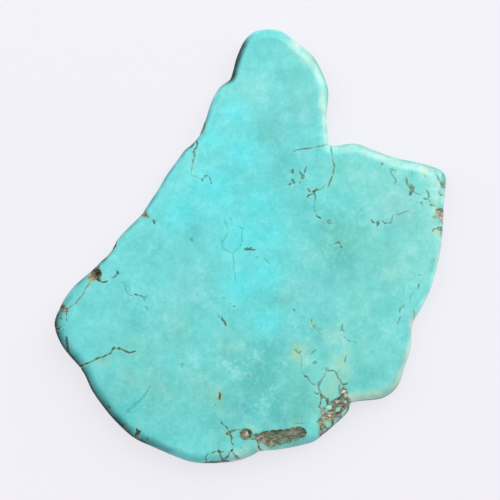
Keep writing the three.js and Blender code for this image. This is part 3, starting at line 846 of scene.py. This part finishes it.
def line_distance(points, line):
    """Each point's distance to a polyline, and where on it the nearest place is, from 0 to 1."""
    nearest = np.full(len(points), np.inf)
    where = np.zeros(len(points))
    for i, (a, b) in enumerate(zip(line, line[1:])):
        t = np.clip((points - a) @ (b - a) / max((b - a) @ (b - a), TINY), 0, 1)
        gap = np.linalg.norm(points - a - t[:, None] * (b - a), axis=1)
        closer = gap < nearest
        nearest[closer] = gap[closer]
        where[closer] = ((i + t) / (len(line) - 1))[closer]
    return nearest, where


def inside_polygon(points, polygon):
    """Whether each point is inside a polygon, by counting the sides to its right."""
    inside = np.zeros(len(points), bool)
    for (x1, y1), (x2, y2) in zip(polygon, np.roll(polygon, -1, axis=0)):
        level = (y1 > points[:, 1]) != (y2 > points[:, 1])
        cross = x1 + (points[:, 1] - y1) * (x2 - x1) / (y2 - y1 if y2 != y1 else TINY)
        inside ^= level & (points[:, 0] < cross)
    return inside


class Markings:
    """The veins and the patches of matrix that one face shows, and the edge below it."""

    REACH = 2.4                    # further from a vein or patch than this, mm, nothing is measured

    def __init__(self, vein_groups, patch_groups):
        self.veins = []
        for group in vein_groups:
            for veins in group.values():
                for width, ink, rust, pixels in veins:
                    self.veins.append((width / 2, ink, rust, smooth_curve(place(pixels), VEIN_STEP)))
        self.patches = []
        for group in patch_groups:
            for depth, pixels in group.values():
                self.patches.append((depth, smooth_curve(place(pixels), PATCH_STEP, closed=True)))

    def near(self, points, line):
        """The numbers of the points that may be within reach of a line."""
        low, high = line.min(axis=0) - self.REACH, line.max(axis=0) + self.REACH
        return np.flatnonzero(((points > low) & (points < high)).all(axis=1))

    def vein(self, points):
        """Distance to the edge of the nearest vein, less than 0 inside it, with its ink and its rust."""
        edge = np.full(len(points), self.REACH)
        ink = np.zeros(len(points))
        rust = np.zeros(len(points))
        strayed = stray(points, VEIN_STRAY, 0.8, seed=41)
        swell = 1 + VEIN_SWELL * hills(points, 1.1, seed=4)
        wobble = VEIN_WOBBLE * hills(points, 0.45, seed=3)
        for half_width, vein_ink, vein_rust, line in self.veins:
            index = self.near(points, line)
            gap, where = line_distance(strayed[index], line)
            length = np.linalg.norm(np.diff(line, axis=0), axis=1).sum()
            tip = np.minimum(where, 1 - where) * length
            spot = length < 3 * half_width
            taper = 1 if spot else TIP_SHARE + (1 - TIP_SHARE) * rise(tip, 0, TIP_LENGTH)
            found = gap - half_width * taper * swell[index] + wobble[index]
            closer = found < edge[index]
            chosen = index[closer]
            edge[chosen] = found[closer]
            ink[chosen] = vein_ink
            rust[chosen] = vein_rust
        return edge, ink, rust

    def matrix(self, points):
        """Distance to the edge of the nearest patch of matrix, less than 0 inside it, and its depth."""
        edge = np.full(len(points), self.REACH)
        deep = np.zeros(len(points))
        for depth, line in self.patches:
            index = self.near(points, line)
            gap, _ = line_distance(points[index], np.vstack([line, line[:1]]))
            found = np.where(inside_polygon(points[index], line), -gap, gap)
            closer = found < edge[index]
            edge[index[closer]] = found[closer]
            deep[index[closer]] = depth
        ragged = ISLAND_RAGGED * hills(points, 0.7, seed=9)
        for x, y, across, up, turn in ISLANDS:
            radii = np.array([across, up]) / PIXELS_PER_MM
            offset = points - place((x, y))
            c, s = math.cos(math.radians(turn)), math.sin(math.radians(turn))
            turned = offset @ np.array([[c, -s], [s, c]])
            island = (np.linalg.norm(turned / radii, axis=1) - 1) * radii.min()
            edge = np.maximum(edge, ragged - island)
        edge = edge + PATCH_RAGGED * hills(points, 0.6, seed=7) + PATCH_ROUGH * hills(points, 0.3, seed=8)
        return edge, deep


def lattice(detail):
    """Points of a lattice of triangles over the slab, halved again and again where detail is near."""
    step = 2 ** LATTICE_HALVINGS
    finest = LATTICE_STEP / step
    reach = int(max(HIGHEST[:2]) * LATTICE_REACH / LATTICE_STEP)
    rows = np.arange(-reach, reach + 1) * step
    nodes = np.array([(i, j) for i in rows for j in rows])
    around = np.array([(0, 0), (1, 0), (-1, 0), (0, 1), (0, -1), (1, -1), (-1, 1)])

    def points(nodes):
        """The places of these nodes, in mm. The rows lean by 60 degrees."""
        return np.column_stack([nodes[:, 0] + nodes[:, 1] / 2, nodes[:, 1] * math.sqrt(0.75)]) * finest

    every = nodes
    while step > 1:
        near = detail(points(nodes)) < HALVING_REACH * step * finest
        step //= 2
        grown = (nodes[near][:, None, :] + around * step).reshape(-1, 2)
        nodes = np.unique(grown, axis=0)
        every = np.unique(np.vstack([every, nodes]), axis=0)
    return points(every)


class Face:
    """The front or back face down to the outline: its points seen from above, and what they carry."""

    def __init__(self, outline, markings, is_front):
        self.outline = outline
        self.markings = markings
        self.is_front = is_front

    def build(self, rim):
        """Makes the mesh inside these points of the outline, and reads what it carries."""
        self.join(rim, self.inner(rim))
        self.distance, self.outward = self.outline.measure(self.points)
        self.distance[:self.rim_size] = 0
        self.distance = np.maximum(self.distance, 0)
        points = self.reading(self.points, self.distance)
        self.read(points)
        self.read_edge(points)

    def height(self, distance):
        """How far up the rounded edge it is at this distance in from the outline, from 0 to 1 on the face."""
        return np.sqrt(1 - np.clip(1 - distance / EDGE_ROUND, 0, 1) ** 2)

    def reading(self, points, distance):
        """Where each point reads its markings. The front reads them where the camera sees the point. They
        stray sideways on the way down the edge, and again on the way to the back face."""
        height = self.height(distance)
        down = (1 - height) ** 2
        if self.is_front:
            middle = place(IMAGE_CENTRE_PIXEL)
            closer = CAMERA_DISTANCE / (CAMERA_DISTANCE - HALF_THICKNESS * height)
            seen = middle + (points - middle) * closer[:, None]
            return stray(seen, EDGE_STRAY * down, EDGE_STRAY_SIZE, seed=23)
        sideways = stray(points, EDGE_STRAY * (2 - down), EDGE_STRAY_SIZE, seed=23)
        return stray(sideways, BACK_STRAY * rise(distance, 0, BACK_STRAY_RUN), BACK_STRAY_SIZE, seed=21)

    def detail(self, points, distance=None):
        """How far each point is from a line that needs small triangles: a vein's side or a patch's."""
        if distance is None:
            distance, _ = self.outline.measure(points)
        points = self.reading(points, distance)
        edge, ink, _ = self.markings.vein(points)
        faint = np.where(ink < FAINT_INK, NEAR_DETAIL, 0)
        matrix, _ = self.markings.matrix(points)
        return np.minimum(np.abs(edge) + faint, np.abs(matrix))

    def rim(self):
        """The outline's points: all of them where a vein crosses it, or else only some."""
        ring = self.outline.ring
        keep = self.detail(ring, np.zeros(len(ring))) < NEAR_DETAIL
        keep[::OUTLINE_SKIP] = True
        return np.flatnonzero(keep)

    def inner(self, rim):
        """The points inside the rim: rings over the rounded edge, then a lattice."""
        rings = []
        for number in range(1, EDGE_RINGS + 1):
            inset = EDGE_ROUND * (1 - math.cos(math.pi / 2 * number / EDGE_RINGS))
            points = self.outline.ring[rim] - self.outline.normals[rim] * inset
            distance, _ = self.outline.measure(points)
            rings.append(points[distance > RING_CLEAR * inset])
        points = lattice(self.detail)
        distance, _ = self.outline.measure(points)
        clear = distance > OUTLINE_CLEAR
        points, distance = points[clear], distance[clear]
        fine = self.detail(points, distance) < NEAR_DETAIL
        flat = distance > EDGE_ROUND + FLAT_CLEAR
        return np.vstack([*rings, points[flat | fine]])

    def join(self, rim, inner):
        """Joins the points up in triangles. The rim's come first, in order round the slab."""
        points = np.vstack([self.outline.ring[rim], inner])
        only_inside, same_point = 1, 1e-5      # the kind of result, and how close points are one
        places, _, triangles, sources, _, _ = geometry.delaunay_2d_cdt(
            [Vector(p) for p in points], [], [range(len(rim))], only_inside, same_point)
        order = sorted(range(len(places)), key=lambda i: min(sources[i], default=len(points)))
        number = {old: new for new, old in enumerate(order)}
        self.rim_size = len(rim)
        self.points = np.array([places[i][:] for i in order])
        self.triangles = np.array([[number[i] for i in triangle] for triangle in triangles])

    def read(self, points):
        """Reads the veins, the matrix with the painted shade in the pit, and the stone's colours at these
        points.
        """
        self.vein, self.ink, self.rust = self.markings.vein(points)
        self.matrix, self.patch_depth = self.markings.matrix(points)
        self.matrix_colour_and_shade = np.tile(linear(MATRIX_GREY)[:3], (len(points), 1))
        for colour, centres in MATRIX_SPOTS.values():
            share = spots(points, centres)[:, None]
            self.matrix_colour_and_shade += (np.array(linear(colour)[:3]) - self.matrix_colour_and_shade) * share
        self.stain = np.max([most * spots(points, centres) for most, centres in STAINS], axis=0)
        self.speckled = spots(points, SPECKLED)
        self.tint = np.ones((len(points), 3))
        for factor, centres in TINTS.values():
            self.tint *= 1 + (np.array(factor) - 1) * spots(points, centres)[:, None]

    def read_edge(self, points):
        """Reads the edge's own colours, its grime and the painted highlights and painted shade on it, which
        fade on the way to the back face.
        """
        patchy = PATCHY + PATCHY_CHANGE * hills(points, 1.6, seed=51)
        if not self.is_front:
            patchy *= 1 - BACK_FADE * rise(self.height(self.distance), 0, 0.9)
        for factor, start, full, end, centres in EDGE_TINTS.values():
            band = rise(self.distance, start - BAND_BLUR, start + BAND_BLUR) * rise(self.distance, end, full)
            share = spots(points, centres) * band * patchy
            self.tint *= 1 + (np.array(factor) - 1) * share[:, None]
        self.grime_and_shade = np.max([most * spots(points, centres) * rise(self.distance, reach, 0.3 * reach)
                             for most, reach, centres in GRIME_AND_SHADE], axis=0) * patchy.clip(0, 1)

    def relief(self, points):
        """How far each point is cut in below the polished surface."""
        vein_depth = HAIRLINE_DEPTH + (VEIN_DEPTH - HAIRLINE_DEPTH) * self.ink ** 1.5
        groove = vein_depth * rise(self.vein, *GROOVE_SIDE)
        grit = 0.75 + 0.35 * hills(points, 0.5, seed=11) + 0.2 * hills(points, 0.22, seed=12)
        start, end = HOLLOW_SIDE
        side = rise(self.matrix, start, end - HOLLOW_LEAN * self.patch_depth)
        return np.maximum(groove, self.patch_depth * side * grit)

    def corners(self):
        """The points in space, in mm: the faces round over to the outline in half an ellipse."""
        round_over = EDGE_ROUND * (1 + EDGE_ROUND_CHANGE * hills(self.points, 14, seed=5))
        round_over *= 1 - TIGHT_SHARE * spots(self.points, TIGHT_EDGE)
        level = np.clip(1 - self.distance / round_over, 0, 1)      # 1 at the outline, 0 on the face
        height = np.sqrt(1 - level ** 2)
        waves = WAVE_HEIGHT * (hills(self.points, 9, seed=31 + self.is_front) - WAVE_SINK)
        lift = HALF_THICKNESS * height + waves * height ** 2
        normal = np.column_stack([self.outward * (level / EDGE_ROUND)[:, None], height / HALF_THICKNESS])
        normal /= np.linalg.norm(normal, axis=1)[:, None]
        cut = self.relief(self.reading(self.points, self.distance))
        corners = np.column_stack([self.points, lift]) - normal * cut[:, None]
        if not self.is_front:
            corners[:, 2] *= -1
        corners += (0, 0, HALF_THICKNESS)
        return corners.clip(LOWEST, HIGHEST)


def store(mesh, name, values):
    """Stores a number or a colour at each vertex."""
    colour = np.ndim(values) == 2
    made = mesh.attributes.new(name, "FLOAT_COLOR" if colour else "FLOAT", "POINT")
    if colour:
        values = np.column_stack([values, np.ones(len(values))])
    made.data.foreach_set("color" if colour else "value", np.ravel(values).astype(np.float32))


def bake_map(mesh, front, back):
    """The UV map for baking: the front and the back laid side by side, each with its half of the edge."""
    unroll = 0.7                   # how much further out than the outline the edge is laid, mm
    gap = 1.0
    size = (HIGHEST - LOWEST)[:2] + 2 * (unroll + gap)
    scale = 1 / (2 * size[0])
    layer = mesh.uv_layers.new(name="OFBake")
    charts = []
    for number, face in enumerate((front, back)):
        level = rise(face.distance, EDGE_ROUND, 0)
        laid = face.points + face.outward * (unroll * level)[:, None]
        if number:
            laid = laid * (-1, 1)
        charts.append((laid - LOWEST[:2] + unroll + gap + (number * size[0], 0)) * scale)
    places = np.vstack([charts[0][front.triangles.ravel()], charts[1][back.triangles[:, ::-1].ravel()]])
    layer.data.foreach_set("uv", places.ravel().astype(np.float32))


def slab():
    """The slab: its front and back faces, joined at the outline in one closed mesh."""
    outline = Outline(cad_ring())
    front = Face(outline, Markings([EDGE_VEINS, FRONT_VEINS], [EDGE_PATCHES, FRONT_PATCHES]), True)
    back = Face(outline, Markings([EDGE_VEINS, BACK_VEINS], [EDGE_PATCHES, BACK_PATCHES]), False)
    rim = np.union1d(front.rim(), back.rim())
    front.build(rim)
    back.build(rim)
    rim_size = len(rim)
    top, bottom = front.corners(), back.corners()
    shift = len(top) - rim_size
    number = np.concatenate([np.arange(rim_size), np.arange(rim_size, len(bottom)) + shift])
    corners = np.vstack([top, bottom[rim_size:]]) * MM
    triangles = np.vstack([front.triangles, number[back.triangles][:, ::-1]])

    mesh = bpy.data.meshes.new(NODE + "_stone")
    mesh.from_pydata(corners.tolist(), [], triangles.tolist())
    mesh.shade_smooth()
    for name in ("vein", "ink", "rust", "matrix", "stain", "speckled", "grime_and_shade", "tint", "matrix_colour_and_shade"):
        values = getattr(front, name), getattr(back, name)[rim_size:]
        store(mesh, name, np.concatenate(values))
    bake_map(mesh, front, back)
    piece = bpy.data.objects.new(NODE + "_stone", mesh)
    bpy.context.scene.collection.objects.link(piece)
    mesh.materials.append(turquoise())
    return piece


class Shader:
    """Short calls that add nodes to a material and join them up."""

    def __init__(self, name):
        self.material = bpy.data.materials.new(name)
        self.material.use_nodes = True
        self.tree = self.material.node_tree
        self.surface = self.tree.nodes["Principled BSDF"]

    def add(self, kind, inputs, output=0, **settings):
        """A new node's output. An input is a value, or the output of another node."""
        node = self.tree.nodes.new(kind)
        for name, value in settings.items():
            setattr(node, name, value)
        self.fill(node, inputs)
        return node.outputs[output]

    def fill(self, node, inputs):
        """Sets inputs of a node to values, or joins them to the outputs of other nodes."""
        for name, value in inputs.items():
            if isinstance(value, bpy.types.NodeSocket):
                self.tree.links.new(value, node.inputs[name])
            else:
                node.inputs[name].default_value = value

    def math(self, operation, *values):
        """A sum or another operation on numbers."""
        return self.add("ShaderNodeMath", dict(enumerate(values)), operation=operation)

    def ramp(self, value, start, end, low=0.0, high=1.0):
        """From low to high as the value goes from start to end, smoothly, and no further."""
        limits = {"Value": value, "From Min": start, "From Max": end, "To Min": low, "To Max": high}
        return self.add("ShaderNodeMapRange", limits, interpolation_type="SMOOTHSTEP")

    def mix(self, factor, a, b, blend="MIX"):
        """Colour a turned into colour b as the factor goes from 0 to 1, or blended with it."""
        return self.add("ShaderNodeMix", {0: factor, 6: a, 7: b}, 2, data_type="RGBA", blend_type=blend)

    def noise(self, position, size, detail=3.0, roughness=0.55, distortion=0.0):
        """Noise from 0 to 1 whose blotches are about this size, mm."""
        inputs = {"Vector": position, "Scale": 1 / size, "Detail": detail, "Roughness": roughness,
                  "Distortion": distortion}
        return self.add("ShaderNodeTexNoise", inputs)

    def attribute(self, name, output="Fac"):
        """What the mesh carries under this name."""
        return self.add("ShaderNodeAttribute", {}, output, attribute_name=name)


def stone_colour(shader, position):
    """The turquoise: cloudy in four sizes, with stains, and with pale specks where it is speckled."""
    slow = shader.noise(position, 7.0)
    cloud = shader.noise(position, 1.9, detail=4.0, roughness=0.6, distortion=0.3)
    fine = shader.noise(position, 0.6, roughness=0.6)
    grain = shader.noise(position, 0.16, detail=2.0)
    speckled = shader.attribute("speckled")
    pale_most = shader.math("MULTIPLY_ADD", speckled, 0.5, 0.32)
    colour = linear(STONE)
    for noise, start, end, most, tone in (
            (slow, 0.42, 0.68, 0.3, STONE_DEEP),
            (cloud, 0.5, 0.66, pale_most, STONE_PALE),
            (cloud, 0.49, 0.34, 0.36, STONE_DEEP),
            (fine, 0.54, 0.72, pale_most, STONE_PALE),
            (fine, 0.47, 0.32, 0.3, STONE_DEEP),
            (grain, 0.35, 0.7, 0.13, STONE_PALE)):
        colour = shader.mix(shader.ramp(noise, start, end, 0, most), colour, linear(tone))
    for cell_size, speck_size, most, rare in ((1.3, 0.14, 0.5, 0.75), (0.75, 0.12, 0.7, 1.05)):
        cell = {"Vector": position, "Scale": 1 / cell_size}
        gap = shader.add("ShaderNodeTexVoronoi", cell, "Distance")
        near = shader.ramp(gap, speck_size / cell_size, 0.4 * speck_size / cell_size)
        chosen = shader.add("ShaderNodeSeparateColor", {0: shader.add("ShaderNodeTexVoronoi", cell, "Color")})
        rarity = shader.math("MULTIPLY_ADD", speckled, -0.45, rare)
        shown = shader.ramp(chosen, rarity, shader.math("ADD", rarity, 0.2), 0, most)
        colour = shader.mix(shader.math("MULTIPLY", near, shown), colour, linear(SPECK))
    # The tint holds the stone's slow colours, the edge's rinds, and painted highlights and painted shade on
    # the edge.
    colour = shader.mix(1.0, colour, shader.attribute("tint", "Color"), "MULTIPLY")
    stain = shader.math("MULTIPLY", shader.attribute("stain"), shader.ramp(cloud, 0.35, 0.6, 0.5, 1.1))
    return shader.mix(stain, colour, linear(STAIN))


def matrix_colour_and_shade(shader, position):
    """The matrix: its own slow colours and the pit's painted shade, broken up by dark and pale grains that
    lie along the patches, with painted shade along their sunken sides.
    """
    stretched = {"Vector": position, "Rotation": (0, 0, math.radians(-12)), "Scale": (0.65, 1.4, 1.0)}
    along = shader.add("ShaderNodeMapping", stretched)
    grain = shader.noise(along, 0.38, detail=5.0, roughness=0.78, distortion=0.5)
    speck = shader.noise(position, 0.2, detail=2.0)
    bits = shader.add("ShaderNodeTexVoronoi", {"Vector": along, "Scale": 1 / 0.27}, "Color")
    shade = shader.add("ShaderNodeSeparateColor", {0: bits})
    hue = shader.add("ShaderNodeSeparateColor", {0: bits}, 1)
    gain = shader.ramp(grain, 0.38, 0.64, 0.5, 1.45)
    gain = shader.math("MULTIPLY", gain, shader.ramp(speck, 0.3, 0.7, 0.7, 1.3))
    gain = shader.math("MULTIPLY", gain, shader.ramp(shade, 0.0, 1.0, 0.74, 1.22))
    colour = shader.mix(1.0, shader.attribute("matrix_colour_and_shade", "Color"), gain, "MULTIPLY")
    colour = shader.mix(shader.ramp(hue, 0.5, 0.9), colour, WARM_GRAINS, "MULTIPLY")
    colour = shader.mix(shader.ramp(hue, 0.4, 0.1), colour, GREEN_GRAINS, "MULTIPLY")
    # Painted shade along the sunken side of each patch.
    rim = shader.ramp(shader.math("ABSOLUTE", shader.attribute("matrix")), 0.14, 0.0, 0, 0.2)
    return shader.mix(rim, colour, linear(MATRIX_RIM_SHADE))


def vein_strength(shader, breaks):
    """How dark the nearest vein is. It is broken up along its way."""
    ink = shader.attribute("ink")
    strength = shader.math("MULTIPLY", ink, shader.ramp(ink, 0.1, 0.6, 1.8, 1.0))
    return shader.math("MULTIPLY", strength, shader.ramp(breaks, 0.34, 0.6, 0.4, 1.2))


def vein_colour(shader, breaks):
    """Black to brown by its rust, and only a deeper blue green where there is little ink."""
    browner = shader.math("ADD", shader.attribute("rust"), shader.ramp(breaks, 0.35, 0.65, -0.35, 0.35))
    colour = shader.mix(browner, linear(VEIN_BLACK), linear(VEIN_BROWN))
    return shader.mix(shader.ramp(shader.attribute("ink"), 0.2, 0.6), linear(VEIN_FAINT), colour)


def polish(shader, position, dull, grime_and_shade, in_matrix):
    """The stone's soft gloss, which is weaker where it is dull, grimy, painted with shade or dark, and its
    fine unevenness.
    """
    glossy = shader.ramp(shader.noise(position, 2.5, detail=4.0), 0.3, 0.7, 0.34, 0.44)
    rough = shader.math("MULTIPLY_ADD", dull, 0.3, glossy)
    gloss = shader.ramp(dull, 0.0, 1.0, 0.5, 0.14)
    gloss = shader.math("MINIMUM", gloss, shader.ramp(grime_and_shade, 0.0, 0.6, 0.5, 0.05))
    gloss = shader.math("MINIMUM", gloss, shader.ramp(shader.attribute("tint"), 0.45, 0.85, 0.08, 0.5))
    grit = shader.math("MULTIPLY", in_matrix, shader.noise(position, 0.25))
    height = shader.math("ADD", shader.noise(position, 1.1, detail=4.0), grit)
    bump = shader.add("ShaderNodeBump", {"Height": height, "Strength": 0.25, "Distance": 0.06 * MM})
    shader.fill(shader.surface, {
        "Roughness": rough, "IOR": 1.61, "Specular IOR Level": gloss, "Normal": bump})


def turquoise():
    """Polished turquoise with brown and black veins and duller matrix."""
    shader = Shader("turquoise_stone")
    metres = shader.add("ShaderNodeTexCoord", {}, "Object")
    position = shader.add("ShaderNodeVectorMath", {0: metres, "Scale": 1 / MM}, operation="SCALE")
    breaks = shader.noise(position, 0.55, detail=4.0, roughness=0.7)
    ragged = shader.math("MULTIPLY_ADD", shader.noise(position, 0.3, detail=4.0, roughness=0.65), 0.22, -0.11)
    matrix = shader.attribute("matrix")
    vein = shader.attribute("vein")
    in_matrix = shader.ramp(shader.math("ADD", matrix, ragged), 0.05, -0.05)
    in_vein = shader.ramp(shader.math("MULTIPLY_ADD", ragged, 0.8, vein), 0.06, -0.06)
    strength = vein_strength(shader, breaks)
    in_vein = shader.math("MULTIPLY", in_vein, shader.math("MINIMUM", strength, 1.0))
    grime_and_shade = shader.math("MULTIPLY", shader.attribute("grime_and_shade"), shader.ramp(breaks, 0.3, 0.5, 0.6, 1.0))

    # Grime and painted shade darken the edge and the pit.
    colour = shader.mix(grime_and_shade, stone_colour(shader, position), linear(GRIME_AND_SHADE_DARK))
    near_vein = shader.math("MULTIPLY", shader.ramp(vein, 0.3, 0.0), strength)
    rusty = shader.math("MULTIPLY_ADD", shader.attribute("rust"), 0.42, 0.06)
    colour = shader.mix(shader.math("MULTIPLY", near_vein, rusty), colour, linear(HALO))
    colour = shader.mix(shader.ramp(matrix, 0.5, 0.0, 0, 0.36), colour, linear(MATRIX_HALO))
    colour = shader.mix(in_matrix, colour, matrix_colour_and_shade(shader, position))
    colour = shader.mix(in_vein, colour, vein_colour(shader, breaks))

    shader.fill(shader.surface, {"Base Color": colour})
    dull = shader.math("MAXIMUM", shader.math("MAXIMUM", in_matrix, in_vein), grime_and_shade)
    polish(shader, position, dull, grime_and_shade, in_matrix)
    return shader.material


def floor():
    """A plain pale floor that glows a little."""
    corners = [(x * FLOOR_HALF, y * FLOOR_HALF, 0) for x, y in ((-1, -1), (1, -1), (1, 1), (-1, 1))]
    mesh = bpy.data.meshes.new("floor")
    mesh.from_pydata(corners, [], [(0, 1, 2, 3)])
    made = bpy.data.objects.new("floor", mesh)
    bpy.context.scene.collection.objects.link(made)
    shader = Shader("floor_paper")
    shader.fill(shader.surface, {
        "Base Color": linear(FLOOR), "Roughness": 0.9,
        "Emission Color": linear(FLOOR), "Emission Strength": FLOOR_GLOW})
    mesh.materials.append(shader.material)
    return made


def softbox(name, watts, size, distance, azimuth, zenith):
    """A square soft light facing the slab: azimuth anticlockwise from +X, zenith down from straight up."""
    data = bpy.data.lights.new(name, "AREA")
    data.shape = "SQUARE"
    data.size = size
    data.energy = watts
    made = bpy.data.objects.new(name, data)
    a, z = math.radians(azimuth), math.radians(zenith)
    way = Vector((math.cos(a) * math.sin(z), math.sin(a) * math.sin(z), math.cos(z)))
    made.location = way * distance
    made.rotation_euler = way.to_track_quat("Z", "Y").to_euler()
    bpy.context.scene.collection.objects.link(made)


def studio():
    """Soft light from all round, most of it from above and from the upper right."""
    world = bpy.data.worlds.new("studio")
    world.use_nodes = True
    background = world.node_tree.nodes["Background"]
    background.inputs["Color"].default_value = SKY
    background.inputs["Strength"].default_value = SKY_STRENGTH
    bpy.context.scene.world = world
    softbox("fill", watts=9.0, size=1.5, distance=1.2, azimuth=150, zenith=36)
    softbox("key", watts=10.5, size=1.2, distance=1.1, azimuth=50, zenith=52)
    bpy.context.scene.view_settings.view_transform = "Standard"


def camera():
    """Looks straight down on the slab, framed as the photograph is."""
    data = bpy.data.cameras.new("camera")
    data.lens = LENS
    data.sensor_width = SENSOR
    made = bpy.data.objects.new("camera", data)
    made.location = Vector((*place(IMAGE_CENTRE_PIXEL), HALF_THICKNESS + CAMERA_DISTANCE)) * MM
    bpy.context.scene.collection.objects.link(made)
    bpy.context.scene.camera = made


stone = slab()
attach(stone, "root")
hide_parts(NODE)
floor()
studio()
camera()
